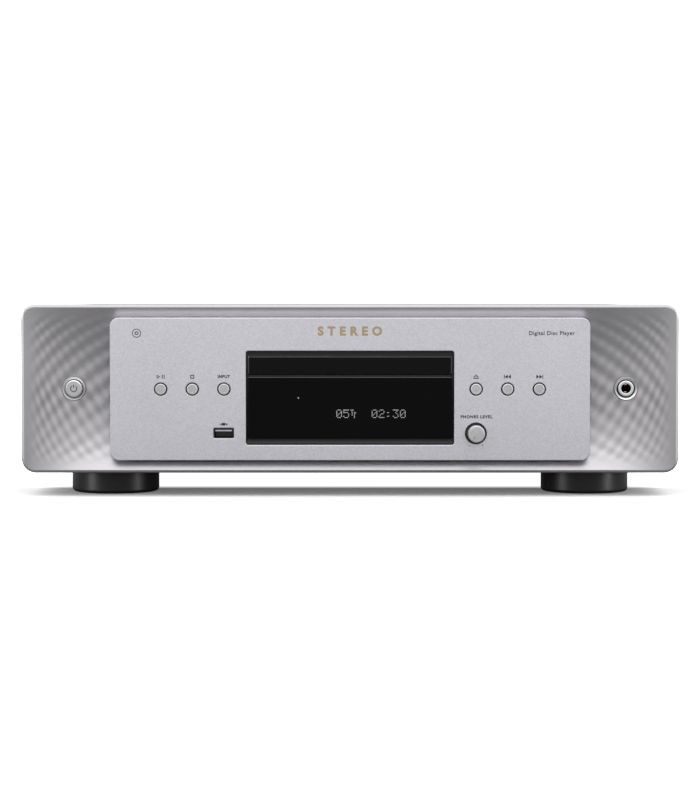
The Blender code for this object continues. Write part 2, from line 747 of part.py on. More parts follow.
def control_board():
    """Front circuit board with its switches, cut away for the loader."""
    outline = [(-200, 24), (200, 24), (200, 120), (78, 120), (78, 66), (-78, 66), (-78, 120), (-200, 120)]
    holes = [circle(7.2, (PHONES_X, FACE_MID), 16)]
    board = prism("control_board", [outline] + holes, "Y", (BOARD_FRONT, BOARD_BACK))
    switch_y = (BOARD_FRONT - 2.0, BOARD_FRONT + 0.5)
    for x in BUTTONS.values():
        join(board, box("switch", (x - 3, x + 3), switch_y, (FACE_MID - 3, FACE_MID + 3)))
    return finish(board, "circuit board")


# Loader


def loader_base():
    """Moulded deck with the traverse well, side walls with tray guides, gear pins, cam rail and pivots."""
    well = rectangle(TRAVERSE_WELL[:2], TRAVERSE_WELL[2:])
    motor_hole = circle(5.2, LOADING_MOTOR, 16)
    outline = rectangle((0.5 - WALL_X[1], WALL_X[1] - 0.5), DECK_Y)
    base = prism("loader_base", [outline, well, motor_hole], "Z", DECK_Z)
    for side in (-1, 1):
        wall_x = sorted((side * WALL_X[0], side * WALL_X[1]))
        guide_x = sorted((side * 60.0, side * (WALL_X[0] + 1)))
        ear_x = sorted((side * (WALL_X[1] - 1.5), side * 80.0))
        post_x = sorted((side * 53.0, side * 56.0))
        wall_y = (DECK_Y[0] + 0.5, DECK_Y[1] - 0.5)
        join(base, box("side_wall", wall_x, wall_y, (DECK_Z[0] + 0.5, WALL_TOP)))
        join(base, box("tray_ledge", guide_x, (DECK_Y[0] + 1, DECK_Y[1] - 1), LEDGE_Z))
        for y in TAB_Y:
            join(base, box("tray_tab", guide_x, (y - 4, y + 4), TAB_Z))
        for y in EAR_Y:
            join(base, box("ear", ear_x, (y - 10, y + 10), (DECK_Z[0], DECK_Z[1] - 0.5)))
        join(base, box("rail_post", post_x, (-159.5, -155.5), (53.5, DECK_Z[1] - 0.5)))
        hinge_x = sorted((side * 52.6, side * 57.0))
        join(base, box("pivot_block", hinge_x, (PIVOT[1] - 4, PIVOT[1] + 4), (DECK_Z[1] - 1, 78.0)))
    join(base, box("cam_rail", (-55, 55), (-160.0, -155.0), (53.0, 60.0)))
    cut(base, box("cam_groove", (-52.5, 52.5), (CAM_Y[0] - GAP, CAM_Y[1] + GAP), (CAM_Z[0] - GAP, 61.0)))
    cut(base, cylinder("pivot_bore", PIN_RADIUS + RUNNING_GAP, "X", PIVOT[1:], (-56, 56), 12))
    for place in (DRIVE_GEAR, PULLEY_GEAR):
        join(base, cylinder("gear_pin", PIN_RADIUS, "Z", place, (DECK_Z[1] - 1, 85.6), 12))
    return finish(base, "black plastic")


def loader_brackets():
    """Folded brackets that stand on the chassis floor and carry the loader's ears."""
    for side, name in ((-1, "left"), (1, "right")):
        foot_z = FEET_HEIGHT + SHEET + GAP
        flange_z = DECK_Z[0] - GAP - SHEET
        post = side * 77.2
        profile = [(side * 90, foot_z), (post, foot_z), (post, flange_z), (side * 70.0, flange_z)]
        bracket = folded_sheet("loader_bracket_" + name, profile[::side], "Y", (-165.0, -48.0))
        finish(bracket, "zinc steel")


def disc_tray():
    """Sliding tray: 120 mm and 80 mm recesses, a slot for the turntable and pickup, runners and a rack."""
    tray = box("disc_tray", (-TRAY_HALF, TRAY_HALF), TRAY_Y, TRAY_Z)
    for side in (-1, 1):
        runner_x = sorted((side * 60.5, side * TRAY_HALF))
        join(tray, box("runner", runner_x, (TRAY_Y[0] + 2, TRAY_Y[1]), (85.0, TRAY_Z[0] + 1)))
    rack_y = (-179.0, TRAY_Y[1] - 0.5)
    rack = rack_outline(RACK_PITCH_X, DRIVE_GEAR[1], rack_y, DRIVE_MODULE, RACK_PITCH_X + 5.5, -1)
    join(tray, prism("rack", [rack], "Z", (TRAY_RACK_Z, TRAY_Z[0] + 1)))
    below, above = TRAY_RACK_Z - 3.0, TRAY_Z[1] + 1
    centre = (0.0, SPINDLE_Y)
    cut(tray, cylinder("disc_recess", DISC_RECESS[0], "Z", centre, (DISC_RECESS[1], above), 36))
    cut(tray, cylinder("small_disc_recess", SMALL_RECESS[0], "Z", centre, (SMALL_RECESS[1], above), 28))
    cut(tray, cylinder("turntable_hole", TURNTABLE_HOLE, "Z", centre, (below, above), 20))
    cut(tray, box("slot", (-PICKUP_SLOT, PICKUP_SLOT), (SPINDLE_Y, TRAY_Y[1] + 1), (below, above)))
    return finish(tray, "black plastic")


def clamper_bridge():
    """Strip across the loader that carries the clamper."""
    outline = rectangle((-WALL_X[1], WALL_X[1]), (SPINDLE_Y - 15, SPINDLE_Y + 15))
    hole = circle(9.6, (0.0, SPINDLE_Y), 24)
    bridge = prism("clamper_bridge", [outline, hole], "Z", (WALL_TOP + GAP, WALL_TOP + GAP + 1.5))
    return finish(bridge, "zinc steel")


def disc_clamper():
    """Spool that hangs in the bridge and presses the disc on the turntable."""
    profile = [(0.0, 102.6), (12.5, 102.6), (12.5, 101.1), (9.0, 101.1), (9.0, 96.5), (16.0, 96.5)]
    profile += [(16.0, 91.5), (8.0, 91.5), (8.0, 93.5), (0.0, 93.5)]
    return finish(turned("disc_clamper", profile, (0.0, SPINDLE_Y, 0.0), "+Z", 20), "grey plastic")


def loading_drive():
    """Motor, its pulley, the belt, the pulley gear and the gear that drives the tray's rack."""
    motor = cylinder("loading_motor", 12.0, "Z", LOADING_MOTOR, (45.0, DECK_Z[0] - GAP), 24)
    cut(motor, cylinder("shaft_bore", 1.0 + RUNNING_GAP, "Z", LOADING_MOTOR, (62.0, 75.0), 12))
    finish(motor, "bright metal")

    low, high = BELT_Z[0] - GAP, BELT_Z[1] + GAP
    flange, thick, shaft_end = 4.4, 0.8, 63.0
    profile = [(0.0, high + thick), (flange, high + thick), (flange, high), (MOTOR_PULLEY_RADIUS, high)]
    profile += [(MOTOR_PULLEY_RADIUS, low), (flange, low), (flange, low - thick), (1.0, low - thick)]
    profile += [(1.0, shaft_end), (0.0, shaft_end)]
    finish(turned("motor_pulley", profile, (*LOADING_MOTOR, 0.0), "+Z", 16), "white plastic")

    inside = (PULLEY_RADIUS + GAP, MOTOR_PULLEY_RADIUS + GAP)
    outlines = []
    for extra in (BELT_THICK, 0.0):
        outlines.append(belt_outline(PULLEY_GEAR, inside[0] + extra, LOADING_MOTOR, inside[1] + extra))
    finish(prism("drive_belt", outlines, "Z", BELT_Z), "rubber black")

    pinion = gear_outline(DRIVE_PINION_TEETH, DRIVE_MODULE, PI / DRIVE_PINION_TEETH)
    gear = prism("pulley_gear", [pinion], "Z", (high + 0.5, 81.0), PULLEY_GEAR)
    rim = PULLEY_RADIUS + 0.9
    groove = [(0.0, high + thick), (rim, high + thick), (rim, high), (PULLEY_RADIUS, high)]
    groove += [(PULLEY_RADIUS, low), (rim, low), (rim, low - thick), (0.0, low - thick)]
    join(gear, turned("pulley", groove, (*PULLEY_GEAR, 0.0), "+Z", 28))
    cut(gear, cylinder("bore", PIN_RADIUS + RUNNING_GAP, "Z", PULLEY_GEAR, (70, 85), 12))
    finish(gear, "white plastic")

    outline = gear_outline(GEAR_TEETH, DRIVE_MODULE)
    bore = circle(PIN_RADIUS + RUNNING_GAP, count=12)
    finish(prism("tray_drive_gear", [outline, bore], "Z", (77.5, 85.8), DRIVE_GEAR), "white plastic")


def cam_slider():
    """Upright cam plate with two sloped slots that lower the traverse's front."""
    outlines = [rectangle(CAM_X, CAM_Z)]
    for x in (-CAM_PIN_X, CAM_PIN_X):
        low_end = (x - CAM_TRAVEL, CAM_PIN_Z - CAM_DROP)
        outlines.append(slot_outline(low_end, (x, CAM_PIN_Z), CAM_SLOT))
    return finish(prism("cam_slider", outlines, "Y", CAM_Y), "white plastic")


# Traverse


def traverse_frame():
    """Frame that tilts on its rear pins and carries the turntable, the rods and the feed."""
    outline = rectangle(TRAVERSE_X, TRAVERSE_Y)
    holes = [rectangle((-18, 18), (-115.5, -57))]
    holes += [circle(2.4, (0.0, SPINDLE_Y), 12), circle(1.6, SLED_PINION, 12)]
    frame = prism("traverse_frame", [outline] + holes, "Z", TRAVERSE_Z)
    set_origin(frame, PIVOT)
    for x in (-ROD_X, ROD_X):
        for y in (-124.5, -55.0):
            join(frame, box("rod_holder", (x - 2.8, x + 2.8), (y, y + 3.5), (TRAVERSE_Z[1] - 1, 82.0)))
        cut(frame, cylinder("rod_bore", ROD_RADIUS + 0.3, "Y", (x, ROD_Z), (-124.0, -52.0), 12))
    for x in (-CAM_PIN_X, CAM_PIN_X):
        pin_block = box("pin_block", (x - 3, x + 3), (TRAVERSE_Y[0] - 2, TRAVERSE_Y[0] + 2), (72.4, 75.6))
        join(frame, pin_block)
        join(frame, cylinder("cam_pin", CAM_PIN, "Y", (x, CAM_PIN_Z), (CAM_Y[0], TRAVERSE_Y[0] - 1), 12))
    for edge, end in ((TRAVERSE_X[0], -55.5), (TRAVERSE_X[1], 55.5)):
        inner = edge - math.copysign(4.0, edge)
        join(frame, box("pivot_boss", sorted((inner, edge)), (PIVOT[1] - 3, PIVOT[1] + 3), (72.0, 76.0)))
        join(frame, cylinder("pivot_pin", PIN_RADIUS, "X", PIVOT[1:], sorted((inner + 1, end)), 12))
    join(frame, cylinder("feed_pin", 1.2, "Z", FEED_GEAR, (TRAVERSE_Z[1] - 1, FEED_Z[1] + 0.5), 12))
    return finish(frame, "grey plastic")


def spindle_motor():
    motor = cylinder("spindle_motor", 12.5, "Z", (0.0, SPINDLE_Y), (62.0, TRAVERSE_Z[0] - GAP), 24)
    cut(motor, cylinder("shaft_bore", 1.5 + RUNNING_GAP, "Z", (0.0, SPINDLE_Y), (65.0, 75.0), 12))
    return finish(motor, "bright metal")


def turntable():
    """Disc platform with a tapered centring boss, and the spindle below it."""
    profile = [(0.0, BOSS_TOP), (5.0, BOSS_TOP), (7.3, TURNTABLE_Z[1] + 0.6), (7.3, TURNTABLE_Z[1])]
    profile += [(15.0, TURNTABLE_Z[1]), (15.0, TURNTABLE_Z[0]), (4.0, TURNTABLE_Z[0]), (4.0, 78.0)]
    profile += [(1.5, 78.0), (1.5, 66.0), (0.0, 66.0)]
    return finish(turned("turntable", profile, (0.0, SPINDLE_Y, 0.0), "+Z", 24), "grey plastic")


def optical_pickup():
    """Pickup sled: body on the two rods, laser unit below, lens well and feed rack."""
    pickup = box("optical_pickup", (-23.5, 23.5), (-116.5, -92.5), (75.8, 84.0))
    join(pickup, box("laser_unit", (-15, 15), (-114.0, -95.0), (68.0, 77.0)))
    rack_y = (FEED_GEAR[1] - 37.5, FEED_GEAR[1] + 5.0)
    rack = rack_outline(FEED_RACK_X, FEED_GEAR[1], rack_y, FEED_MODULE, 24.0, 1)
    join(pickup, prism("rack", [rack], "Z", (FEED_Z[0] + 0.2, FEED_Z[1] - 0.2)))
    join(pickup, box("rack_arm", (22.5, 24.8), (-114.0, -94.0), (FEED_Z[0] + 0.2, FEED_Z[1] - 0.2)))
    for x in (-ROD_X, ROD_X):
        cut(pickup, cylinder("rod_bore", ROD_RADIUS + RUNNING_GAP, "Y", (x, ROD_Z), (-118, -91), 12))
    cut(pickup, cylinder("lens_well", 5.0, "Z", (0.0, LENS_Y), (79.0, 85.0), 20))
    return finish(pickup, "black plastic")


def objective_lens():
    """Lens in its moving holder."""
    profile = [(0.0, 87.0), (1.6, 86.8), (2.6, 86.0), (3.6, 86.0), (4.4, 85.2), (4.4, 80.2), (0.0, 80.2)]
    return finish(turned("objective_lens", profile, (0.0, LENS_Y, 0.0), "+Z", 20), "lens blue")


def guide_rods():
    for x, name in ((-ROD_X, "left"), (ROD_X, "right")):
        rod = cylinder("guide_rod_" + name, ROD_RADIUS, "Y", (x, ROD_Z), (-123.7, -52.3), 12)
        finish(rod, "bright metal")


def sled_feed():
    """Feed motor, its pinion and the gear that moves the pickup's rack."""
    motor = cylinder("sled_motor", 8.0, "Z", SLED_PINION, (60.0, TRAVERSE_Z[0] - GAP), 20)
    cut(motor, cylinder("shaft_bore", 1.0 + RUNNING_GAP, "Z", SLED_PINION, (67.0, 75.0), 12))
    finish(motor, "bright metal")
    pinion = prism("sled_pinion", [gear_outline(SLED_PINION_TEETH, FEED_MODULE)], "Z", FEED_Z, SLED_PINION)
    join(pinion, cylinder("shaft", 1.0, "Z", SLED_PINION, (68.0, FEED_Z[0] + 1), 12))
    finish(pinion, "white plastic")
    outlines = [gear_outline(GEAR_TEETH, FEED_MODULE), circle(1.2 + RUNNING_GAP, count=12)]
    finish(prism("feed_gear", outlines, "Z", FEED_Z, FEED_GEAR), "white plastic")


# Electronics


def circuit_board(name, x, y, parts):
    """Board on four posts, with the given parts joined to it."""
    board = box(name, x, y, BOARD_Z)
    for post_x in (x[0] + 8, x[1] - 8):
        for post_y in (y[0] + 8, y[1] - 8):
            span = (FEET_HEIGHT + SHEET + GAP, BOARD_Z[0] + 0.5)
            join(board, cylinder("post", BOARD_POST, "Z", (post_x, post_y), span, 10))
    join(board, *parts)
    return finish(board, "circuit board")


def capacitor(x, y, radius, height):
    return cylinder("capacitor", radius, "Z", (x, y), (BOARD_Z[1] - 0.5, BOARD_Z[1] + height), 14)


def component(x, y, height):
    return box("component", x, y, (BOARD_Z[1] - 0.5, BOARD_Z[1] + height))


def power_board():
    parts = [capacitor(-190.0, -120.0, 9.0, 30.0), capacitor(-165.0, -120.0, 9.0, 30.0)]
    parts.append(component((-150.0, -115.0), (-130.0, -124.0), 25.0))
    parts.append(component((-195.0, -150.0), (-80.0, -60.0), 12.0))
    return circuit_board("power_board", (-208.0, -102.0), (-150.0, -25.0), parts)


def audio_board():
    parts = [capacitor(x, 120.0, 6.0, 16.0) for x in (110.0, 130.0, 170.0, 190.0)]
    parts.append(component((140.0, 160.0), (70.0, 90.0), 2.5))
    parts.append(component((95.0, 125.0), (50.0, 80.0), 3.0))
    return circuit_board("audio_board", (52.0, 206.0), (20.0, 185.0), parts)


def power_transformer():
    """Toroidal transformer on the chassis floor, its core hole open."""
    profile = [(16.0, 68.0), (42.0, 68.0), (48.0, 62.0), (48.0, 25.0), (43.0, 20.0), (16.0, 20.0)]
    ring = turned("power_transformer", profile, (*TRANSFORMER, 0.0), "+Z", 32, ring=True)
    return finish(ring, "varnished copper")


def ac_inlet():
    """Mains inlet with its flange, recess and three pins."""
    x, z = INLET
    face = COVER_REAR - REAR_INSET + SHEET + GAP
    inlet = box("ac_inlet", (x - 17, x + 17), (face, face + 1.5), (z - 12.5, z + 12.5))
    join(inlet, box("body", (x - 14, x + 14), (face - 20, face + 1), (z - 10, z + 10)))
    cut(inlet, box("recess", (x - 12, x + 12), (face - 16, face + 5), (z - 8, z + 8)))
    for pin_x, pin_z in ((x - 7, z - 2), (x, z + 2), (x + 7, z - 2)):
        join(inlet, box("pin", (pin_x - 1, pin_x + 1), (face - 18, face - 2), (pin_z - 2, pin_z + 2)))
    return finish(inlet, "black plastic")


def jack_barrel(x, z, rear):
    """Profile-turned phono barrel that points to the rear."""
    front = COVER_REAR - SOCKET_DEPTH
    profile = [(0.0, 6.0), (1.7, 6.0), (1.7, rear - front), (4.2, rear - front), (4.2, 1.0), (0.0, 1.0)]
    return turned("barrel", profile, (x, front, z), "+Y", 16)


def analog_jacks():
    (x0, z), (x1, _) = ANALOG_JACKS
    inside = COVER_REAR - REAR_INSET - GAP
    block = box("analog_jacks", (x0 - 8, x1 + 8), (inside - SOCKET_DEPTH, inside), (z - 12, z + 8))
    join(block, *(jack_barrel(x, z, REAR_LIMIT) for x, z in ANALOG_JACKS))
    return finish(block, "black plastic")


def digital_jacks():
    inside = COVER_REAR - REAR_INSET - GAP
    x, z = OPTICAL
    block_x = (x - 10, COAX_JACKS[0][0] + 9)
    block = box("digital_jacks", block_x, (inside - SOCKET_DEPTH, inside), (z - 12, z + 8))
    join(block, *(jack_barrel(*place, REAR_LIMIT) for place in COAX_JACKS))
    join(block, box("optical_frame", (x - 4.8, x + 4.8), (inside - 2, inside + 3.5), (z - 4.8, z + 4.8)))
    cut(block, box("optical_mouth", (x - 3, x + 3), (inside - 6, inside + 10), (z - 3, z + 3)))
    return finish(block, "black plastic")


clear_scene()
PARTS = new_collection("cd_player")
CUTTERS = new_collection("cutters", hidden=True)

bottom_chassis()
top_cover()
cover_screws()
feet()
rear_panel()
front_subframe()
front_panel()
centre_plate()
plate_carrier()
display_window()
display_module()
push_buttons()
power_controls()
phones_socket()
level_knob()
level_potentiometer()
usb_socket()
control_board()
loader_base()
loader_brackets()
pivot("tray_slide", (0.0, TRAY_Y[0], TRAY_Z[0]), [disc_tray(), tray_door()])
clamper_bridge()
disc_clamper()
loading_drive()
cam_slider()
pivot("traverse_pivot", PIVOT, [traverse_frame(), spindle_motor(), turntable()])
optical_pickup()
objective_lens()
guide_rods()
sled_feed()
power_board()
audio_board()
power_transformer()
ac_inlet()
analog_jacks()
digital_jacks()
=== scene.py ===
"""Looks of the CD player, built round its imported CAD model.

Sizes are in millimetres, and places come from the CAD nodes' boxes. The front faces -Y, and +Z is up.
"""

import json
import math

import bmesh
import bpy
import numpy as np
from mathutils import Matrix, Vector

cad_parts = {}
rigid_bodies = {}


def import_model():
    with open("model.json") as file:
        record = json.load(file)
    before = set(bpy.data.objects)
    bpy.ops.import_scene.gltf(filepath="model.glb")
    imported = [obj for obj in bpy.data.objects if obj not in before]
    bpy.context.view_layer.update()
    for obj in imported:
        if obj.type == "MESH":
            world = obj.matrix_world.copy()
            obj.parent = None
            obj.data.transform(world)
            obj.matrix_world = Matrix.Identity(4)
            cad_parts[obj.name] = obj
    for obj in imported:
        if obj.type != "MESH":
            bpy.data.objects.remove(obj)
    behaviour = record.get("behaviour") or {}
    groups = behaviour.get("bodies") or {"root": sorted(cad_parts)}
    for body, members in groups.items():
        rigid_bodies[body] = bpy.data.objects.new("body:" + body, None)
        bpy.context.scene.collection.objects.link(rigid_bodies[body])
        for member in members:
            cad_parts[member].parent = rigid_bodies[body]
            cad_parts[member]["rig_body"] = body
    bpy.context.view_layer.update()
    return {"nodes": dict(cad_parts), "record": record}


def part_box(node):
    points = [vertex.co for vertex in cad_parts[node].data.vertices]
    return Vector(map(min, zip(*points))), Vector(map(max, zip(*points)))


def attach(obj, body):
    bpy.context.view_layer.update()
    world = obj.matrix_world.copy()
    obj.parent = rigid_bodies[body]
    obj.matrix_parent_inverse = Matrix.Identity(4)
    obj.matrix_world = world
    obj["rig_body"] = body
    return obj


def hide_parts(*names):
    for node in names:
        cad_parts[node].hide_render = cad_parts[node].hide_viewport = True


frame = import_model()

MM = 0.001
PI = math.pi
NODES = frame["nodes"]
SLOT_OF = {row["node"]: row["material_slot"] for row in frame["record"]["subparts"]}


def extent(node):
    """A CAD node's (low, high) along x, y and z."""
    low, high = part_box(node)
    return [(a / MM, b / MM) for a, b in zip(low, high)]


def middle(node):
    return [(low + high) / 2 for low, high in extent(node)]


def front_middle(node):
    """The middle of the front of a CAD node's box."""
    x, _, z = middle(node)
    return (x, extent(node)[1][0], z)


# Driving places, from the frame
PANEL_X, PANEL_Y, PANEL_Z = extent("front_panel")
PLATE_X, PLATE_Y, PLATE_Z = extent("centre_plate")
COVER_X, COVER_Y, COVER_Z = extent("top_cover")
REAR_X, REAR_Y, REAR_Z = extent("rear_panel")
FACE_MID = sum(PANEL_Z) / 2
HALF_WIDTH = PANEL_X[1]
HALF_HEIGHT = (PANEL_Z[1] - PANEL_Z[0]) / 2
PLATE_HALF = PLATE_X[1]
PLATE_FRONT = PLATE_Y[0]

# Front panel. OPENING is its width, height and corner radius.
FACE_CORNER = 9.5
RIM = 2.0
RIM_ROUND = 1.9
DISH_DEPTH = 12.8
DISH_REACH = 69.0
DISH_POWER = 2.6
OPENING = (306.0, 86.0, 2.0)
WALL = 2.0
STRIP_LIFT = 0.2
BEZEL_HOLE = 8.1
PANEL_SPANS = (240, 150)
PANEL_CORNER_STEPS = 7

# Ripples: their depth low down and high up, and their number of turns as powers of the way out from the
# plate, and of the way up from a level
RIPPLES = (0.1, 0.2)
RIPPLE_TURNS = (0.05, 0.0002, 0.0000045)
RIPPLE_LEVEL = 68.0
RIPPLE_RISE = (0.072, 0.026)
RIPPLE_REACH = 38.0
SECOND_PHASE = 0.416
UPPER_CROSSING = 0.35

# Centre plate and window
PLATE_CORNER = 6.0
PLATE_SOFT = 0.5
WINDOW_HALF = 69.85
WINDOW_Z = (35.0, 98.1)
BUTTONS = (
    "play_pause_button",
    "stop_button",
    "input_button",
    "open_close_button",
    "previous_button",
    "next_button",
)
BUTTON_HOLE = 4.45
PRINT_PROUD = 0.04

# Casing
COVER_BEND = 3.0
JACK_Z = 60.0
COAXIAL_X = 92.0

# Floor: grey for reflections near by and far off (from and to in metres), darker near the unit as painted
# shade, grey for the camera, and the strip under the unit that painted light makes glow for the camera only,
# with where it fades at the front, the rear and the sides
FLOOR_REFLECTED = (0.27, 0.4)
FLOOR_SEEN = 0.92
FAR_FLOOR = (0.4, 1.2)
UNDER_Y = (-135.0, -112.0)
UNDER_REAR = (120.0, 160.0)
UNDER_SIDES = (HALF_WIDTH + 60.0, HALF_WIDTH + 160.0)
UNDER_PAINTED_LIGHT = (0.12, 1.1)

# Sky: (place, grey) from straight down to straight up, and gains towards the sides and the back
SKY_LEVELS = ((0.0, 0.18), (0.5, 0.34), (0.6, 0.41), (0.75, 0.47), (0.86, 0.55), (1.0, 0.7))
SKY_STRENGTH = 2.0
SIDE_GAIN = 0.4
BACK_GAIN = 0.8


# Objects


def new_object(name, data):
    """An object with its data, linked to the scene."""
    obj = bpy.data.objects.new(name, data)
    bpy.context.scene.collection.objects.link(obj)
    return obj


def mesh_object(name, bm):
    mesh = bpy.data.meshes.new(name)
    bmesh.ops.recalc_face_normals(bm, faces=bm.faces)
    bm.to_mesh(mesh)
    bm.free()
    return new_object(name, mesh)


def bake(obj):
    """Turns an object with modifiers, or a curve, into a plain mesh object in place."""
    graph = bpy.context.evaluated_depsgraph_get()
    mesh = bpy.data.meshes.new_from_object(obj.evaluated_get(graph))
    mesh.transform(obj.matrix_world)
    name = obj.name
    bpy.data.objects.remove(obj)
    return new_object(name, mesh)


def shade(obj, angle=32):
    """Smooth shading with sharp edges, and normals weighted by face so that flat faces stay flat."""
    obj.data.shade_smooth()
    obj.data.set_sharp_from_angle(angle=math.radians(angle))
    weighted = obj.modifiers.new("Normals", "WEIGHTED_NORMAL")
    weighted.keep_sharp = True
    return obj


def bevel(obj, width, segments=3):
    """Rounds the object's sharp edges."""
    modifier = obj.modifiers.new("Edges", "BEVEL")
    modifier.width = width * MM
    modifier.segments = segments
    modifier.limit_method = "ANGLE"
    modifier.angle_limit = math.radians(50)
    return obj


def cut(target, *tools, solver="EXACT"):
    """Takes the tools away from the target, and removes them."""
    for tool in tools:
        modifier = target.modifiers.new("Cut", "BOOLEAN")
        modifier.operation = "DIFFERENCE"
        modifier.solver = solver
        modifier.object = tool
    made = bake(target)
    for tool in tools:
        bpy.data.objects.remove(tool)
    return made


def paint(obj, *materials):
    """Gives the object its materials and keeps which face has which."""
    faces = obj.data.polygons
    indices = np.zeros(len(faces), dtype=np.int32)
    faces.foreach_get("material_index", indices)
    obj.data.materials.clear()
    for material in materials:
        obj.data.materials.append(material)
    faces.foreach_set("material_index", indices)
    return obj


def stand_in(obj, node, *materials):
    """The object is shown in place of a CAD node and moves with it."""
    paint(obj, *materials)
    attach(obj, NODES[node]["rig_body"])
    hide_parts(node)
    return obj


def detail(obj, node, *materials):
    """The object is added to a CAD node's body."""
    paint(obj, *materials)
    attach(obj, NODES[node]["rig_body"])
    return obj


# Shapes

AXIS = {"X": Vector((1, 0, 0)), "Y": Vector((0, 1, 0)), "Z": Vector((0, 0, 1))}
ACROSS = {"X": (AXIS["Y"], AXIS["Z"]), "Y": (AXIS["X"], AXIS["Z"]), "Z": (AXIS["X"], AXIS["Y"])}
PRISM_TURN = {"Z": (0.0, 0.0, 0.0), "Y": (PI / 2, 0.0, 0.0), "X": (PI / 2, 0.0, PI / 2)}


def box(name, x, y, z):
    bm = bmesh.new()
    bmesh.ops.create_cube(bm, size=1.0)
    size = [(high - low) * MM for low, high in (x, y, z)]
    centre = [(low + high) / 2 * MM for low, high in (x, y, z)]
    bmesh.ops.scale(bm, vec=size, verts=bm.verts)
    bmesh.ops.translate(bm, vec=centre, verts=bm.verts)
    return mesh_object(name, bm)


def turned(name, profile, centre, facing="-Y", segments=64, ring=False, bands=None):
    """A profile of (radius, height) points turned about an axis.

    A ring joins the profile's ends. Bands give each step of the profile a material index.
    """
    axis = AXIS[facing[1]] * (1 if facing[0] == "+" else -1)
    u, v = ACROSS[facing[1]]
    bm = bmesh.new()
    rows = []
    for radius, height in profile:
        on_axis = Vector(centre) + axis * height
        if radius == 0:
            rows.append([bm.verts.new(on_axis * MM)] * segments)
            continue
        row = []
        for i in range(segments):
            angle = 2 * PI * i / segments
            outwards = u * math.cos(angle) + v * math.sin(angle)
            row.append(bm.verts.new((on_axis + outwards * radius) * MM))
        rows.append(row)
    pairs = list(zip(rows, rows[1:]))
    if ring:
        pairs.append((rows[-1], rows[0]))
    for step, (upper, lower) in enumerate(pairs):
        for i in range(segments):
            corners = [upper[i], lower[i], lower[(i + 1) % segments], upper[(i + 1) % segments]]
            corners = list(dict.fromkeys(corners))
            if len(corners) > 2:
                face = bm.faces.new(corners)
                face.material_index = bands[step] if bands else 0
    return shade(mesh_object(name, bm))


def cylinder(name, radius, axis, place, span, segments=64):
    """A plain round bar along an axis, given its two other coordinates."""
    index = "XYZ".index(axis)
    centre = list(place)
    centre.insert(index, 0.0)
    profile = [(0, span[1]), (radius, span[1]), (radius, span[0]), (0, span[0])]
    return turned(name, profile, centre, "+" + axis, segments)


def prism(name, outlines, axis, span, soft=0.0):
    """Flat outlines with holes, given a thickness along the axis. soft is the radius of its round edges."""
    curve = bpy.data.curves.new(name, "CURVE")
    curve.dimensions = "2D"
    curve.fill_mode = "BOTH"
    curve.extrude = ((span[1] - span[0]) / 2 - soft) * MM
    curve.bevel_depth = soft * MM
    curve.bevel_resolution = 3
    curve.offset = -soft * MM
    for outline in outlines:
        spline = curve.splines.new("POLY")
        spline.points.add(len(outline) - 1)
        for point, (u, v) in zip(spline.points, outline):
            point.co = (u * MM, v * MM, 0.0, 1.0)
        spline.use_cyclic_u = True
    obj = new_object(name, curve)
    obj.location = AXIS[axis] * (sum(span) / 2 * MM)
    obj.rotation_euler = PRISM_TURN[axis]
    bpy.context.view_layer.update()
    made = bake(obj)
    bm = bmesh.new()
    bm.from_mesh(made.data)
    bmesh.ops.remove_doubles(bm, verts=bm.verts, dist=0.000001)
    bm.to_mesh(made.data)
    bm.free()
    return made


def loft(name, rings):
    """A closed shell: rings of equally many points joined in order, and the last to the first."""
    bm = bmesh.new()
    rows = [[bm.verts.new(Vector(point) * MM) for point in ring] for ring in rings]
    count = len(rows[0])
    for upper, lower in zip(rows, rows[1:] + rows[:1]):
        for i in range(count):
            after = (i + 1) % count
            bm.faces.new((upper[i], upper[after], lower[after], lower[i]))
    return mesh_object(name, bm)


def on_circle(centre, radius, angle):
    return (centre[0] + radius * math.cos(angle), centre[1] + radius * math.sin(angle))


def circle(radius, centre=(0.0, 0.0), count=48):
    return [on_circle(centre, radius, 2 * PI * i / count) for i in range(count)]


def rounded(width, height, radius, centre=(0.0, 0.0), steps=8, spans=(1, 1)):
    """Rounded rectangle, counterclockwise. Spans divide the level and the upright sides."""
    points = []
    corners = ((1, 1), (-1, 1), (-1, -1), (1, -1))
    hubs = [(centre[0] + a * (width / 2 - radius), centre[1] + b * (height / 2 - radius)) for a, b in corners]
    for quarter, hub in enumerate(hubs):
        for step in range(steps + 1):
            points.append(on_circle(hub, radius, PI / 2 * (quarter + step / steps)))
        start = points[-1]
        end = on_circle(hubs[(quarter + 1) % 4], radius, PI / 2 * (quarter + 1))
        count = spans[quarter % 2]
        for step in range(1, count):
            share = step / count
            points.append((start[0] + (end[0] - start[0]) * share, start[1] + (end[1] - start[1]) * share))
    return points


def rectangle(x, z):
    return [(x[0], z[0]), (x[1], z[0]), (x[1], z[1]), (x[0], z[1])]


def around(place, half):
    """Square round a place."""
    return rectangle((place[0] - half, place[0] + half), (place[1] - half, place[1] + half))


def slot(start, end, radius, steps=8):
    """A straight slot with round ends."""
    heading = math.atan2(end[1] - start[1], end[0] - start[0])
    points = []
    for centre, first in ((end, heading - PI / 2), (start, heading + PI / 2)):
        points += [on_circle(centre, radius, first + PI * i / steps) for i in range(steps + 1)]
    return points


def ring_arc(centre, radius, width, start, end, steps=24):
    """Outline of an arc of a ring."""
    angles = [start + (end - start) * i / steps for i in range(steps + 1)]
    outer = [on_circle(centre, radius + width / 2, a) for a in angles]
    inner = [on_circle(centre, radius - width / 2, a) for a in angles]
    return outer + inner[::-1]


def soft_box(name, x, y, z, width, node, material, segments=2):
    """Box with softened edges, added to a CAD node's body."""
    detail(bevel(box(name, x, y, z), width, segments), node, material)


# Materials


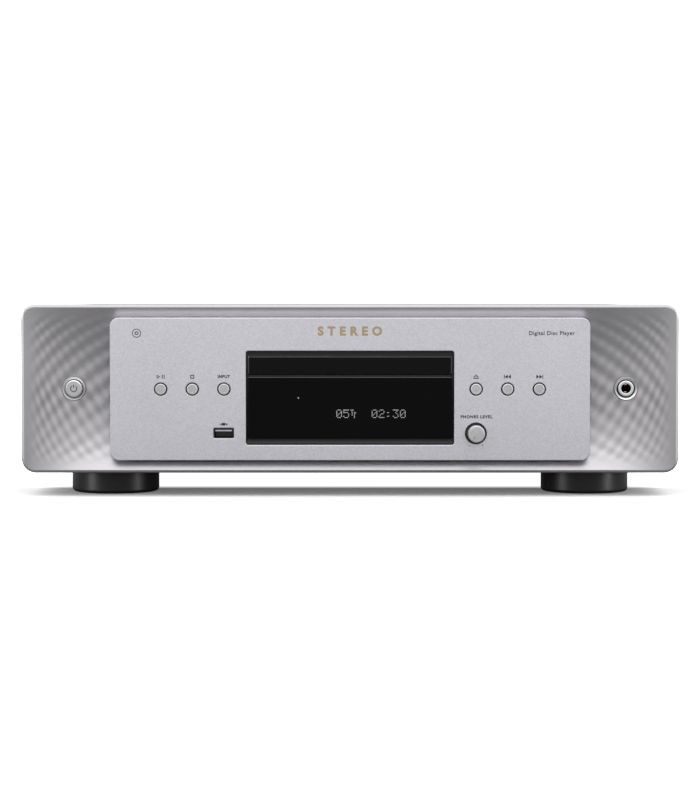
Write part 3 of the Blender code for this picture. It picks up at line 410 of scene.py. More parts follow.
def link(tree, value, socket):
    """Links an output to the socket, or sets the socket to a plain value."""
    if isinstance(value, bpy.types.NodeSocket):
        tree.links.new(value, socket)
    else:
        socket.default_value = value


def add(tree, kind, inputs, **settings):
    """A shader node with its settings, and with values or links for its inputs."""
    made = tree.nodes.new("ShaderNode" + kind)
    for key, value in settings.items():
        setattr(made, key, value)
    for key, value in inputs.items():
        link(tree, value, made.inputs[key])
    return made


def spread(tree, source, low, high, start=0.3, end=0.7):
    """Maps a noise value to a range."""
    values = {"Value": source, "From Min": start, "From Max": end, "To Min": low, "To Max": high}
    return add(tree, "MapRange", values).outputs["Result"]


def tinted(tree, colour, factor):
    """The colour times a factor."""
    return add(tree, "VectorMath", {0: colour, "Scale": factor}, operation="SCALE").outputs["Vector"]


def product(tree, first, second):
    return add(tree, "Math", {0: first, 1: second}, operation="MULTIPLY").outputs["Value"]


def surface(name, colour, metallic=0.0, roughness=0.5, **look):
    """Principled material with broad mottling, fine grain in colour and relief, uneven gloss and worn edges.

    look may hold: grain and depth (mm), speck, mottle, patch (mm), stretch, cells (mm, amount),
    bands (mm, depth in mm), uneven, wear, specular, coat and glow.
    """
    material = bpy.data.materials.new(name)
    material.use_nodes = True
    tree = material.node_tree
    shader = tree.nodes["Principled BSDF"]
    place = add(tree, "TexCoord", {}).outputs["Object"]
    stretched = add(tree, "VectorMath", {0: place, 1: look.get("stretch", (1, 1, 1))}, operation="MULTIPLY")
    fine_scale = 1 / (look.get("grain", 0.3) * MM)
    fine = add(tree, "TexNoise", {"Vector": stretched.outputs[0], "Scale": fine_scale, "Detail": 2.0})
    broad_scale = 1 / (look.get("patch", 30.0) * MM)
    broad = add(tree, "TexNoise", {"Vector": place, "Scale": broad_scale, "Detail": 3.0})
    mottle, speck = look.get("mottle", 0.05), look.get("speck", 0.04)
    patches = spread(tree, broad.outputs["Fac"], 1 - mottle, 1 + mottle)
    specks = spread(tree, fine.outputs["Fac"], 1 - speck, 1 + speck)
    factor = product(tree, patches, specks)
    if "cells" in look:
        size, amount = look["cells"]
        cells = add(tree, "TexVoronoi", {"Vector": place, "Scale": 1 / (size * MM)})
        grey = add(tree, "SeparateColor", {"Color": cells.outputs["Color"]}).outputs["Red"]
        factor = product(tree, factor, spread(tree, grey, 1 - amount, 1 + amount, 0.0, 1.0))
    tint = tinted(tree, colour, factor)
    if look.get("wear"):
        edge = add(tree, "NewGeometry", {}).outputs["Pointiness"]
        worn = product(tree, spread(tree, edge, 0.0, look["wear"], 0.51, 0.6), broad.outputs["Fac"])
        mixed = {"Factor": worn, "A": tint, "B": [min(1.0, c * 1.6 + 0.04) for c in colour]}
        tint = add(tree, "Mix", {}, data_type="VECTOR")
        for key, value in mixed.items():
            link(tree, value, [s for s in tint.inputs if s.name == key and s.enabled][0])
        tint = [s for s in tint.outputs if s.enabled][0]
    tree.links.new(tint, shader.inputs["Base Color"])
    uneven = look.get("uneven", 0.08)
    gloss = spread(tree, broad.outputs["Fac"], roughness * (1 - uneven), min(1.0, roughness * (1 + uneven)))
    tree.links.new(gloss, shader.inputs["Roughness"])
    grains = {"Height": fine.outputs["Fac"], "Distance": look.get("depth", 0.01) * MM, "Strength": 1.0}
    bump = add(tree, "Bump", grains)
    if "bands" in look:
        spacing, depth = look["bands"]
        wave = add(tree, "TexWave", {"Vector": place, "Scale": 1 / (spacing * 3.2 * MM), "Distortion": 0.4})
        values = {"Height": wave.outputs["Fac"], "Distance": depth * MM, "Strength": 1.0}
        bump = add(tree, "Bump", {**values, "Normal": bump.outputs["Normal"]})
    tree.links.new(bump.outputs["Normal"], shader.inputs["Normal"])
    shader.inputs["Metallic"].default_value = metallic
    shader.inputs["Specular IOR Level"].default_value = look.get("specular", 0.5)
    shader.inputs["Coat Weight"].default_value = look.get("coat", 0.0)
    if look.get("glow"):
        tree.links.new(tint, shader.inputs["Emission Color"])
        shader.inputs["Emission Strength"].default_value = look["glow"]
    return material


DISH_SILVER = surface(
    "dish_silver", (0.455, 0.445, 0.46), 1.0, 0.36, grain=0.22, depth=0.006, speck=0.03, mottle=0.03
)
PLATE_SILVER = surface(
    "plate_silver", (0.75, 0.74, 0.79), 1.0, 0.42, grain=0.5, depth=0.014, speck=0.09, cells=(0.8, 0.07),
    mottle=0.012, patch=45.0, uneven=0.02,
)
BUTTON_SILVER = surface("button_silver", (0.62, 0.61, 0.62), 1.0, 0.42, grain=0.4, speck=0.16, uneven=0.02)
POLISHED = surface("polished_painted_highlight", (0.85, 0.85, 0.86), 1.0, 0.24, grain=0.5, depth=0.002, speck=0.02)
BEZEL_SILVER = surface("bezel_silver", (0.6, 0.595, 0.6), 1.0, 0.3, depth=0.003, speck=0.03)
BRONZE = surface("bronze_bore", (0.11, 0.07, 0.035), 0.6, 0.4, mottle=0.1)
GLOSS_BLACK = surface(
    "gloss_black", (0.0028, 0.0028, 0.0029), 0.0, 0.1, grain=0.6, depth=0.001, patch=60.0, specular=0.06
)
DOOR_BLACK = surface(
    "door_black", (0.0035, 0.0035, 0.004), 0.0, 0.2, grain=0.4, depth=0.004, patch=60.0, specular=0.1
)
# Painted highlight for the edges of the display window and the tray door
PAINTED_EDGE_HIGHLIGHT = surface("painted_edge_highlight", (0.09, 0.09, 0.092), 0.0, 0.4, depth=0.003, specular=0.5)
LINING_BLACK = surface("lining_black", (0.009, 0.009, 0.009), 0.0, 0.4, wear=0.3, specular=0.42)
BLACK_PLASTIC = surface("black_plastic", (0.02, 0.02, 0.022), 0.0, 0.5, grain=0.5, depth=0.06, wear=0.2)
TRAY_BLACK = surface("tray_black", (0.028, 0.028, 0.03), 0.0, 0.42, grain=0.35, depth=0.05, wear=0.25)
RUBBER = surface(
    "foot_rubber", (0.006, 0.0058, 0.0062), 0.0, 0.34, grain=0.5, depth=0.02, mottle=0.15, wear=0.2,
    specular=0.28,
)
PAINT_BLACK = surface(
    "powder_coat", (0.022, 0.022, 0.023), 0.1, 0.48, grain=0.55, depth=0.09, speck=0.15, patch=60.0, wear=0.35
)
ZINC = surface(
    "zinc_plated", (0.52, 0.525, 0.52), 1.0, 0.36, grain=0.5, cells=(6.0, 0.1), mottle=0.08, wear=0.3
)
BRIGHT = surface("bright_metal", (0.78, 0.78, 0.78), 1.0, 0.2, depth=0.004, stretch=(1, 1, 8))
GOLD = surface("gold_contact", (0.78, 0.56, 0.23), 1.0, 0.25, depth=0.005, mottle=0.1)
GREY_PLASTIC = surface("grey_plastic", (0.2, 0.2, 0.21), 0.0, 0.5, grain=0.5, depth=0.05, wear=0.2)
WHITE_PLASTIC = surface("white_plastic", (0.7, 0.7, 0.65), 0.0, 0.42, grain=0.5, depth=0.04, mottle=0.08)
RED_PLASTIC = surface("red_plastic", (0.5, 0.02, 0.02), 0.0, 0.4, grain=0.5, depth=0.04, mottle=0.08)
BOARD = surface(
    "circuit_board", (0.02, 0.15, 0.06), 0.0, 0.35, grain=0.6, depth=0.02, cells=(3.0, 0.35), specular=0.6
)
WINDING = surface(
    "winding", (0.4, 0.14, 0.035), 0.35, 0.35, grain=0.4, bands=(1.2, 0.3), speck=0.1, mottle=0.15
)
LENS = surface("lens_blue", (0.05, 0.09, 0.3), 0.0, 0.06, grain=0.5, depth=0.001, coat=1.0, mottle=0.15)
INK = surface("dark_print", (0.022, 0.021, 0.032), 0.0, 0.6, grain=0.15, depth=0.004, speck=0.2)
GOLD_INK = surface("gold_print", (0.46, 0.36, 0.2), 0.6, 0.4, grain=0.15, depth=0.004, speck=0.15)
WHITE_INK = surface("white_print", (0.62, 0.62, 0.6), 0.0, 0.6, grain=0.15, depth=0.004, speck=0.15)
GLOW = surface("display_glow", (0.5, 0.5, 0.5), 0.0, 0.5, grain=0.1, speck=0.12, glow=0.19)
LAMP_GLOW = surface("lamp_glow", (0.4, 0.4, 0.4), 0.0, 0.5, grain=0.1, speck=0.12, glow=0.15)

SLOT_LOOKS = {
    "silver_metal": PLATE_SILVER,
    "plated_steel": ZINC,
    "bright_metal": BRIGHT,
    "gloss_black": GLOSS_BLACK,
    "black_plastic": BLACK_PLASTIC,
    "painted_black": PAINT_BLACK,
    "rubber_black": RUBBER,
    "grey_plastic": GREY_PLASTIC,
    "white_plastic": WHITE_PLASTIC,
    "circuit_board": BOARD,
    "winding": WINDING,
    "lens": LENS,
}


def finish_cad_nodes():
    """Every CAD node gets its slot's finish, also the ones that stand-ins hide."""
    for name, node in NODES.items():
        for slot in node.material_slots:
            slot.material = SLOT_LOOKS[SLOT_OF[name]]


# Front panel


def smoothstep(low, high, value):
    t = np.clip((value - low) / (high - low), 0.0, 1.0)
    return t * t * (3 - 2 * t)


def dish(x, z):
    """How far the face lies behind its rim: a dish, lifted to the plate's back along its upper edge."""
    reach = np.clip((HALF_WIDTH - RIM - np.abs(x)) / DISH_REACH, 0.0, 1.0)
    height = np.clip(np.abs(z - FACE_MID) / (HALF_HEIGHT - RIM), 0.0, 1.0)
    bowl = DISH_DEPTH * (1 - (1 - reach) ** 2) * (1 - height**DISH_POWER)
    over_plate = smoothstep(PLATE_HALF + 6.0, PLATE_HALF - 4.0, np.abs(x))
    upper_edge = smoothstep(PLATE_Z[1] - 20.0, PLATE_Z[1] - 4.0, z)
    upper_edge = upper_edge * smoothstep(PLATE_Z[1] + 3.5, PLATE_Z[1] - 0.5, z)
    return bowl * (1 - STRIP_LIFT * over_plate * upper_edge)


def ripples(x, z):
    """Two crossing families of waves, wider towards the plate. The second is weaker in the upper half."""
    s = np.abs(x) - PLATE_HALF
    u = -(RIPPLE_TURNS[0] * s + RIPPLE_TURNS[1] * s**2 + RIPPLE_TURNS[2] * s**3)
    w = z - RIPPLE_LEVEL
    v = RIPPLE_RISE[0] * w + RIPPLE_RISE[1] / (3 * RIPPLE_REACH**2) * w**3
    first = np.cos(2 * PI * (u - v))
    second = np.cos(2 * PI * (2 * u + v + SECOND_PHASE))
    fade = smoothstep(HALF_WIDTH - 3.0, HALF_WIDTH - 15.0, np.abs(x))
    fade = fade * smoothstep(PANEL_Z[1] - 3.0, PANEL_Z[1] - 16.0, z) * smoothstep(19.0, 32.0, z)
    depth = RIPPLES[0] + (RIPPLES[1] - RIPPLES[0]) * smoothstep(38.0, 80.0, z)
    crossing = UPPER_CROSSING + (1 - UPPER_CROSSING) * smoothstep(82.0, 64.0, z)
    return depth * fade * (first + second * crossing)


def panel_size(inset):
    """Width, height and corner radius of the front panel's outline, less an inset all round."""
    return (2 * (HALF_WIDTH - inset), 2 * (HALF_HEIGHT - inset), FACE_CORNER - inset)


def panel_ring(size):
    """The x and the z of a rounded outline about the face's middle."""
    return np.array(rounded(*size, (0.0, FACE_MID), PANEL_CORNER_STEPS, PANEL_SPANS)).T


def face_ring(share):
    """The face's outline at a share of the way from its rim to the opening."""
    return panel_ring([a + (b - a) * share for a, b in zip(panel_size(RIM), OPENING)])


def front_panel():
    """Closed shell: side walls, a round rim that is polished at the sides, rippled dish and plain inside."""
    round_steps, face_rows, inside_rows = 7, 96, 12
    front, back = PANEL_Y
    rings = []

    def edge(inset, y):
        x, z = panel_ring(panel_size(inset))
        rings.append(np.column_stack([x, np.full(len(x), y), z]))

    edge(0.0, back)
    for i in range(round_steps + 1):
        angle = PI / 2 * i / round_steps
        edge(RIM_ROUND * (1 - math.cos(angle)), front + RIM_ROUND * (1 - math.sin(angle)))
    for i in range(face_rows + 1):
        x, z = face_ring(i / face_rows)
        y = front + dish(x, z) - ripples(x, z)
        rings.append(np.column_stack([x, y, z]))
    for share in np.linspace(1.0, 0.0, inside_rows):
        x, z = face_ring(share)
        rings.append(np.column_stack([x, front + dish(x, z) + WALL, z]))
    edge(RIM, back)
    panel = loft("front_panel_dished", rings)
    cutters = []
    for node in ("power_bezel", "phones_bezel"):
        x, _, z = middle(node)
        cutters.append(cylinder("bezel_hole", BEZEL_HOLE, "Y", (x, z), (front - 10, back + 5), 96))
    panel = cut(panel, *cutters, solver="MANIFOLD")
    for face in panel.data.polygons:
        x, y, z = face.center / MM
        on_round = abs(x) > HALF_WIDTH - RIM and y < front + RIM_ROUND
        face.material_index = int(on_round and z > PANEL_Z[0] + FACE_CORNER / 2)
    shade(panel, 28)
    stand_in(panel, "front_panel", DISH_SILVER, POLISHED)


# Plate, window and display


def centre_plate():
    """Plate with soft edges and its openings."""
    outline = rounded(2 * PLATE_HALF, PLATE_Z[1] - PLATE_Z[0], PLATE_CORNER, (0.0, sum(PLATE_Z) / 2), 12)
    window_mid = sum(WINDOW_Z) / 2
    holes = [rounded(2 * WINDOW_HALF, WINDOW_Z[1] - WINDOW_Z[0], 1.6, (0.0, window_mid), 6)]
    for node in BUTTONS:
        x, _, z = middle(node)
        holes.append(circle(BUTTON_HOLE, (x, z)))
    knob_x, _, knob_z = middle("level_knob")
    knob_hole = extent("level_potentiometer")[0][1] - knob_x + 1.7
    holes.append(circle(knob_hole, (knob_x, knob_z), 64))
    usb_x, _, usb_z = middle("usb_socket")
    holes.append(rounded(13.7, 6.9, 0.9, (usb_x, usb_z), 5))
    plate = prism("centre_plate_face", [outline] + holes, "Y", PLATE_Y, PLATE_SOFT)
    stand_in(shade(plate), "centre_plate", PLATE_SILVER)


def window_lining():
    """Frame inside the plate's window: hollow slopes, narrow at the sides and wide at the bottom."""
    front = PLATE_FRONT + 0.5
    upper_depth, lower_depth, back, slope_steps = 0.9, 2.4, front + 3.6, 6
    door_z, glass_z = extent("tray_door")[2], extent("display_window")[2]
    inner_z = (glass_z[0] - 0.15, door_z[1] + 0.2)
    inner_half = extent("display_window")[0][1] + 0.15
    outer_mid, inner_mid = sum(WINDOW_Z) / 2, sum(inner_z) / 2
    outer = rounded(2 * WINDOW_HALF - 0.1, WINDOW_Z[1] - WINDOW_Z[0] - 0.1, 1.55, (0.0, outer_mid), 6)
    inner = rounded(2 * inner_half, inner_z[1] - inner_z[0], 0.5, (0.0, inner_mid), 6)
    rings = []
    for step in range(slope_steps + 1):
        angle = PI / 2 * step / slope_steps
        inwards, behind = 1 - math.cos(angle), math.sin(angle)
        ring = []
        for (x_out, z_out), (x_in, z_in) in zip(outer, inner):
            depth = upper_depth if z_in > inner_mid else lower_depth
            x, z = x_out + (x_in - x_out) * inwards, z_out + (z_in - z_out) * inwards
            ring.append((x, front + depth * behind, z))
        rings.append(ring)
    rings.append([(x, back, z) for x, z in inner])
    rings.append([(x, back, z) for x, z in outer])
    lining = loft("window_lining", rings)
    detail(shade(lining, 20), "plate_carrier", LINING_BLACK)


def glass_and_door():
    """Display window and tray door, with a painted highlight: a grey line where the top edges and the door's
    ends catch light.
    """
    side, below_top = 0.3, 0.55
    for node, look in (("display_window", GLOSS_BLACK), ("tray_door", DOOR_BLACK)):
        x, y, z = extent(node)
        outline = rounded(x[1] - x[0], z[1] - z[0], 0.7, (sum(x) / 2, sum(z) / 2), 6)
        slab = bake(bevel(prism(node + "_face", [outline], "Y", y), 0.3))
        stand_in(shade(slab), node, look)
        # Painted highlight: a grey strip along the top edge, and down the door's ends
        top, under = z[1] - 0.1, z[1] - below_top
        low = z[0] + 0.6 if node == "tray_door" else under
        line = [(x[0], low), (x[0], top), (x[1], top), (x[1], low), (x[1] - side, low), (x[1] - side, under)]
        line += [(x[0] + side, under), (x[0] + side, low)]
        detail(prism(node + "_painted_highlight", [line], "Y", (y[0] - 0.03, y[0] + 0.3)), node, PAINTED_EDGE_HIGHLIGHT)
    bar_z = (extent("display_window")[2][1] - 0.1, extent("tray_door")[2][0] - 0.35)
    half = extent("display_window")[0][1]
    bar_y = (extent("tray_door")[1][0] + 1.2, PLATE_Y[1] + 1.5)
    soft_box("window_bar", (-half, half), bar_y, bar_z, 0.2, "plate_carrier", LINING_BLACK)


GLYPHS = {
    "0": ("01110", "10001", "10011", "10101", "11001", "10001", "01110"),
    "2": ("01110", "10001", "00001", "00110", "01000", "10000", "11111"),
    "3": ("11111", "00010", "00100", "00010", "00001", "10001", "01110"),
    "5": ("11111", "10000", "11110", "00001", "00001", "10001", "01110"),
    "t": ("11100", "01000", "01011", "01010", "01010", "00010", "00010"),
    ":": ("00000", "00000", "01100", "00000", "00000", "01100", "00000"),
    " ": ("00000",) * 7,
}


def display_digits():
    """Dot-matrix track number and time, and a small lamp."""
    face = extent("display_window")[1][0]
    pitch_x, pitch_z, dot, cell = 0.8, 0.84, 0.3, 4.75
    left, top = -8.9, 58.4
    bm = bmesh.new()
    for place, character in enumerate("05t  02:30"):
        for row, line in enumerate(GLYPHS[character]):
            for column, lit in enumerate(line):
                if lit == "0":
                    continue
                x = left + cell * place + pitch_x * column
                z = top - pitch_z * row
                sizes = {"radius1": dot * MM, "radius2": dot * 0.8 * MM, "depth": 0.05 * MM}
                made = bmesh.ops.create_cone(bm, cap_ends=True, segments=8, **sizes)
                at = Vector((x * MM, (face - 0.03) * MM, z * MM))
                for vertex in made["verts"]:
                    flat = vertex.co.copy()
                    vertex.co = at + Vector((flat.x, -flat.z, flat.y))
    detail(mesh_object("display_digits", bm), "display_window", GLOW)
    lens = [(0, 0.12), (0.35, 0.1), (0.5, 0.0), (0, 0.0)]
    lamp = turned("status_lamp", lens, (-34.7, face - 0.01, 66.5), "-Y", 24)
    detail(lamp, "display_window", LAMP_GLOW)


# Controls


def push_buttons():
    """Round caps: satin face inside a bright turned edge."""
    for node in BUTTONS:
        front, back = extent(node)[1]
        depth = back - front - 0.5
        profile = [(0, 0.02), (1.6, 0.0), (2.85, -0.04), (3.1, 0.0), (3.45, -0.12), (3.6, -0.35), (3.6, -4.6)]
        profile += [(2.0, -4.6), (2.0, -depth), (0, -depth)]
        bands = [0, 0, 1, 1, 1, 1, 0, 0, 0]
        cap = turned(node + "_cap", profile, front_middle(node), "-Y", 48, bands=bands)
        stand_in(cap, node, BUTTON_SILVER, POLISHED)


def painted_gap_shade_rings():
    """Painted shade: dark rings in the gaps round the buttons and the knob, seen as a fine line round each of
    them.
    """
    knob_x, _, knob_z = middle("level_potentiometer")
    places = [(node, middle(node)[0], FACE_MID, 3.7, BUTTON_HOLE - 0.05) for node in BUTTONS]
    places.append(("level_knob", knob_x, knob_z, 5.75, 7.15))
    for node, x, z, inner, outer in places:
        depth = PLATE_Y[1] - PLATE_Y[0]
        profile = [(outer, 0.0), (inner, 0.0), (inner, -depth), (outer, -depth)]
        # Painted shade: a black ring fills each gap, where shade falls
        gap_shade = turned(node + "_painted_gap_shade", profile, (x, PLATE_FRONT + 0.7, z), "-Y", 48, ring=True)
        detail(gap_shade, "centre_plate", LINING_BLACK)


def power_button():
    """Wide polished chamfer round a satin face with the standby sign."""
    centre = front_middle("power_button")
    profile = [(0, -0.05), (4.7, 0.0), (5.0, 0.0), (5.2, -0.06), (5.6, -0.4), (5.85, -0.8), (5.9, -1.5)]
    profile += [(5.9, -6.3), (2.0, -6.3), (2.0, -7.7), (0, -7.7)]
    bands = [0, 0, 1, 1, 1, 1, 0, 0, 0, 0]
    cap = turned("power_button_cap", profile, centre, "-Y", 72, bands=bands)
    stand_in(cap, "power_button", BUTTON_SILVER, POLISHED)
    sign = standby_sign(centre[0], centre[2])
    print_on(sign, "power_sign", "power_button", centre[1] + 0.01)


def standby_sign(x, z):
    """Open ring with a bar through its gap."""
    arc = ring_arc((x, z), 2.1, 0.55, math.radians(125), math.radians(415))
    bar = rectangle((x - 0.27, x + 0.27), (z + 0.6, z + 2.7))
    return [arc, bar]


def bezels():
    """Rings with a hollow cone that catches the light at its lower side."""
    for node in ("power_bezel", "phones_bezel"):
        profile = [(7.95, -0.35), (7.8, -0.1), (7.6, 0.0), (7.45, -0.08), (6.25, -0.95), (6.25, -7.9)]
        profile += [(7.95, -7.9)]
        bands = [0, 0, 0, 0, 1, 1, 1]
        ring = turned(node + "_ring", profile, front_middle(node), "-Y", 96, ring=True, bands=bands)
        stand_in(ring, node, BEZEL_SILVER, DISH_SILVER)


def phones_jack():
    """Collar with a round lip, a dark bore and a sprung contact in it."""
    centre = front_middle("phones_jack")
    profile = [(0, -32), (3.15, -32), (3.15, -0.7), (3.35, -0.2), (3.8, 0.0), (4.8, 0.0), (5.25, -0.25)]
    profile += [(5.4, -0.8), (5.4, -6.0), (6.2, -6.0), (6.2, -35.0), (0, -35.0)]
    bands = [1, 2, 0, 0, 0, 0, 0, 0, 1, 1, 1]
    jack = turned("phones_jack_painted_gap_shade", profile, centre, "-Y", 64, bands=bands)
    stand_in(jack, "phones_jack", POLISHED, BLACK_PLASTIC, BRONZE)
    leaf_x, leaf_y = (centre[0] - 0.9, centre[0] + 0.9), (centre[1] + 4.0, centre[1] + 14.0)
    for side, level in ((-1, "low"), (1, "high")):
        leaf_z = sorted((centre[2] + side * 2.2, centre[2] + side * 3.0))
        soft_box("phones_contact_" + level, leaf_x, leaf_y, leaf_z, 0.2, "phones_jack", GOLD)


def level_knob():
    """Turned cap with a fine edge and a pointer notch near its rim."""
    front, back = extent("level_knob")[1]
    bore_x, _, bore_z = middle("level_potentiometer")
    centre = (bore_x, front, bore_z)
    length = back - front
    profile = [(0, 0.0), (4.95, 0.0), (5.3, -0.12), (5.55, -0.5), (5.6, -0.9), (5.6, -9.0), (5.5, -9.4)]
    profile += [(5.5, -13.0), (3.0, -13.0), (3.0, -length), (0, -length)]
    bands = [0, 1, 1, 1, 0, 0, 0, 0, 0, 0]
    cap = turned("level_knob_cap", profile, centre, "-Y", 96, bands=bands)
    paint(cap, BUTTON_SILVER, POLISHED)
    pointer = math.radians(-150)
    ends = [(centre[0] + r * math.sin(pointer), centre[2] + r * math.cos(pointer)) for r in (3.7, 8.0)]
    notch = prism("notch", [slot(*ends, 0.45)], "Y", (front - 1, front + 0.6))
    cap = cut(cap, paint(notch, POLISHED))
    stand_in(shade(cap), "level_knob", BUTTON_SILVER, POLISHED)


def usb_port():
    """Metal shell with a dark inside and a tongue below its bright upper lip."""
    x, y, z = extent("usb_socket")
    mid = (sum(x) / 2, sum(z) / 2)
    width, height = x[1] - x[0], z[1] - z[0]
    outline = rounded(width, height, 0.8, mid, 5)
    mouth = rounded(width - 1.0, height - 1.0, 0.4, mid, 5)
    shell = prism("usb_port_shell", [outline, mouth], "Y", y)
    stand_in(shade(bake(bevel(shell, 0.12, 2))), "usb_socket", INK)
    tongue_x = (x[0] + 1.0, x[1] - 1.0)
    lip_y, lip_z = (y[0] + 0.3, y[0] + 11.0), (mid[1] + 1.15, mid[1] + 2.15)
    soft_box("usb_port_lip", tongue_x, lip_y, lip_z, 0.15, "usb_socket", ZINC)
    core_y, core_z = (y[0] + 3.5, y[0] + 14.0), (mid[1] - 2.3, mid[1] + 0.9)
    soft_box("usb_port_inside", tongue_x, core_y, core_z, 0.15, "usb_socket", LINING_BLACK)


# Printing


def print_on(outlines, name, node="centre_plate", face=PLATE_FRONT):
    """Flat printed shapes, just proud of a face that looks to -Y."""
    mark = prism(name, outlines, "Y", (face - PRINT_PROUD, face + PRINT_PROUD / 2))
    detail(mark, node, INK)


def lettering(name, text, height, x, z, material=INK, spacing=1.1, back=False, align="CENTER", weight=0.03):
    """Plain letters whose middle is at x and z, on the centre plate or, at the back, on the rear panel."""
    face, node = (REAR_Y[1] + 0.02, "rear_panel") if back else (PLATE_FRONT, "centre_plate")
    curve = bpy.data.curves.new(name, "FONT")
    curve.body = text
    curve.size = height / 0.7 * MM
    curve.space_character = spacing
    curve.align_x = align
    curve.align_y = "CENTER"
    curve.extrude = PRINT_PROUD / 2 * MM
    curve.offset = height * weight * MM
    curve.resolution_u = 4
    obj = new_object(name, curve)
    obj.location = Vector((x, face, z)) * MM
    obj.rotation_euler = (PI / 2, 0.0, PI if back else 0.0)
    bpy.context.view_layer.update()
    detail(bake(obj), node, material)


def triangle(x, z, half, reach):
    """Triangle that points along x by its reach, or back when that is negative."""
    return [(x, z - half), (x + reach, z), (x, z + half)]


def button_signs():
    """Small function signs above the buttons."""
    z = FACE_MID + 8.3
    half = 1.35
    x = {node: middle(node)[0] for node in BUTTONS}
    play = x["play_pause_button"]
    shapes = [triangle(play - 2.6, z, half, 2.3), triangle(play - 2.1, z, half * 0.45, 0.9)]
    shapes += [rectangle((play + a, play + a + 0.55), (z - half, z + half)) for a in (0.9, 2.1)]
    stop = x["stop_button"]
    shapes += [around((stop, z), 1.3), around((stop, z), 0.75)]
    eject = x["open_close_button"]
    shapes += [[(eject - 1.9, z - 0.35), (eject + 1.9, z - 0.35), (eject, z + 1.55)]]
    shapes += [[(eject - 0.9, z + 0.0), (eject + 0.9, z + 0.0), (eject, z + 0.9)]]
    shapes += [rectangle((eject - 1.9, eject + 1.9), (z - 1.35, z - 0.8))]
    for node, way in (("previous_button", -1), ("next_button", 1)):
        centre = x[node]
        shapes += [triangle(centre - way * 2.1, z, half, way * 2.0), triangle(centre, z, half, way * 2.0)]
        shapes += [rectangle(sorted((centre + way * 2.05, centre + way * 2.55)), (z - half, z + half))]
    print_on(shapes, "button_signs")
    lettering("input_label", "INPUT", 1.9, x["input_button"], z, weight=0.07)


def plate_printing():
    """Generic words and signs, and the marks at the knob's ends of travel."""
    knob_x, _, knob_z = middle("level_potentiometer")
    label_place = (knob_x + 0.4, FACE_MID - 18.7)
    lettering("level_label", "PHONES LEVEL", 1.9, *label_place, spacing=1.22, weight=0.07)
    marks = []
    for side in (-1, 1):
        centre = on_circle((knob_x, knob_z), 9.2, math.radians(-90 + side * 28))
        marks.append(circle(0.35, centre, 16))
    print_on(marks, "level_marks")
    usb_x, _, usb_z = middle("usb_socket")
    plug = [rectangle((usb_x - 1.4, usb_x + 1.2), (usb_z + 5.1, usb_z + 6.9))]
    plug.append(rectangle((usb_x + 1.5, usb_x + 2.7), (usb_z + 5.5, usb_z + 6.5)))
    plug.append(rectangle((usb_x - 3.0, usb_x - 1.4), (usb_z + 5.8, usb_z + 6.2)))
    print_on(plug, "plug_sign")
    lettering("title", "STEREO", 5.6, 0.0, FACE_MID + 38.6, GOLD_INK, 1.75, weight=0.07)
    lettering("kind_label", "Digital Disc Player", 2.6, 150.6, FACE_MID + 37.4, align="RIGHT")
    disc = (-143.0, FACE_MID + 37.5)
    rings = [circle(3.0, disc), circle(2.5, disc), circle(1.25, disc), circle(0.65, disc)]
    print_on(rings, "disc_sign")


# Casing


def feet():
    """Round feet with a softened lower edge and a hollow for the screw."""
    for node in ("foot_front_left", "foot_front_right", "foot_rear_left", "foot_rear_right"):
        x, y, z = extent(node)
        top, radius = z[1], (x[1] - x[0]) / 2
        profile = [(0, top), (radius - 0.8, top), (radius, top - 0.8), (radius, 2.4), (radius - 0.4, 1.2)]
        profile += [(radius - 1.3, 0.35), (radius - 2.4, 0.0), (9.0, 0.0), (9.0, 0.8), (5.0, 0.8)]
        profile += [(5.0, 6.0), (0, 6.0)]
        foot = turned(node + "_pad", profile, (sum(x) / 2, sum(y) / 2, 0.0), "+Z", 96)
        stand_in(foot, node, RUBBER)


def cover_sheet_points():
    """Points (x, z) up one side, over the top and down the other, with round bends."""
    bend, steps = COVER_BEND, 8
    half, low, top = COVER_X[1], COVER_Z[0], COVER_Z[1]
    points = [(-half, low)]
    for side, first in ((-1, PI), (1, PI / 2)):
        hub = (side * (half - bend), top - bend)
        points += [on_circle(hub, bend, first - PI / 2 * i / steps) for i in range(steps + 1)]
    points.append((half, low))
    return points


def vent_columns():
    """Edges along x of the rows of slots in the cover's top."""
    length, bridge = 26.0, 9.0
    starts = [i * (length + bridge) + bridge / 2 for i in range(-5, 5)]
    return [(start, start + length) for start in starts]


def top_cover():
    """Folded sheet with rows of air slots over the rear half."""
    columns = vent_columns()
    first, pitch, slot_width, count = 60.0, 9.0, 3.0, 12
    rows = [(first + pitch * i, first + slot_width + pitch * i) for i in range(count)]
    profile = cover_sheet_points()
    flat = [x for pair in columns for x in pair]
    bends = [p for p in profile if p[1] < COVER_Z[1] - 1e-6]
    left = [p for p in bends if p[0] < 0] + [(-COVER_X[1] + COVER_BEND, COVER_Z[1])]
    right = [(COVER_X[1] - COVER_BEND, COVER_Z[1])] + [p for p in bends if p[0] > 0]
    outline = left + [(x, COVER_Z[1]) for x in flat] + right
    levels = [COVER_Y[0]] + [y for pair in rows for y in pair] + [COVER_Y[1]]
    bm = bmesh.new()
    grid = [[bm.verts.new(Vector((x, y, z)) * MM) for x, z in outline] for y in levels]
    for j in range(len(levels) - 1):
        for i in range(len(outline) - 1):
            in_row = (levels[j], levels[j + 1]) in rows
            in_column = (outline[i][0], outline[i + 1][0]) in columns
            if not (in_row and in_column):
                bm.faces.new((grid[j][i], grid[j][i + 1], grid[j + 1][i + 1], grid[j + 1][i]))
    mesh = bpy.data.meshes.new("top_cover_sheet")
    bm.normal_update()
    bm.to_mesh(mesh)
    bm.free()
    sheet = new_object("top_cover_sheet", mesh)
    solidify = sheet.modifiers.new("Thickness", "SOLIDIFY")
    solidify.thickness = 1.0 * MM
    solidify.offset = -1.0
    sheet = bake(bevel(bake(sheet), 0.25, 2))
    stand_in(shade(sheet), "top_cover", PAINT_BLACK)


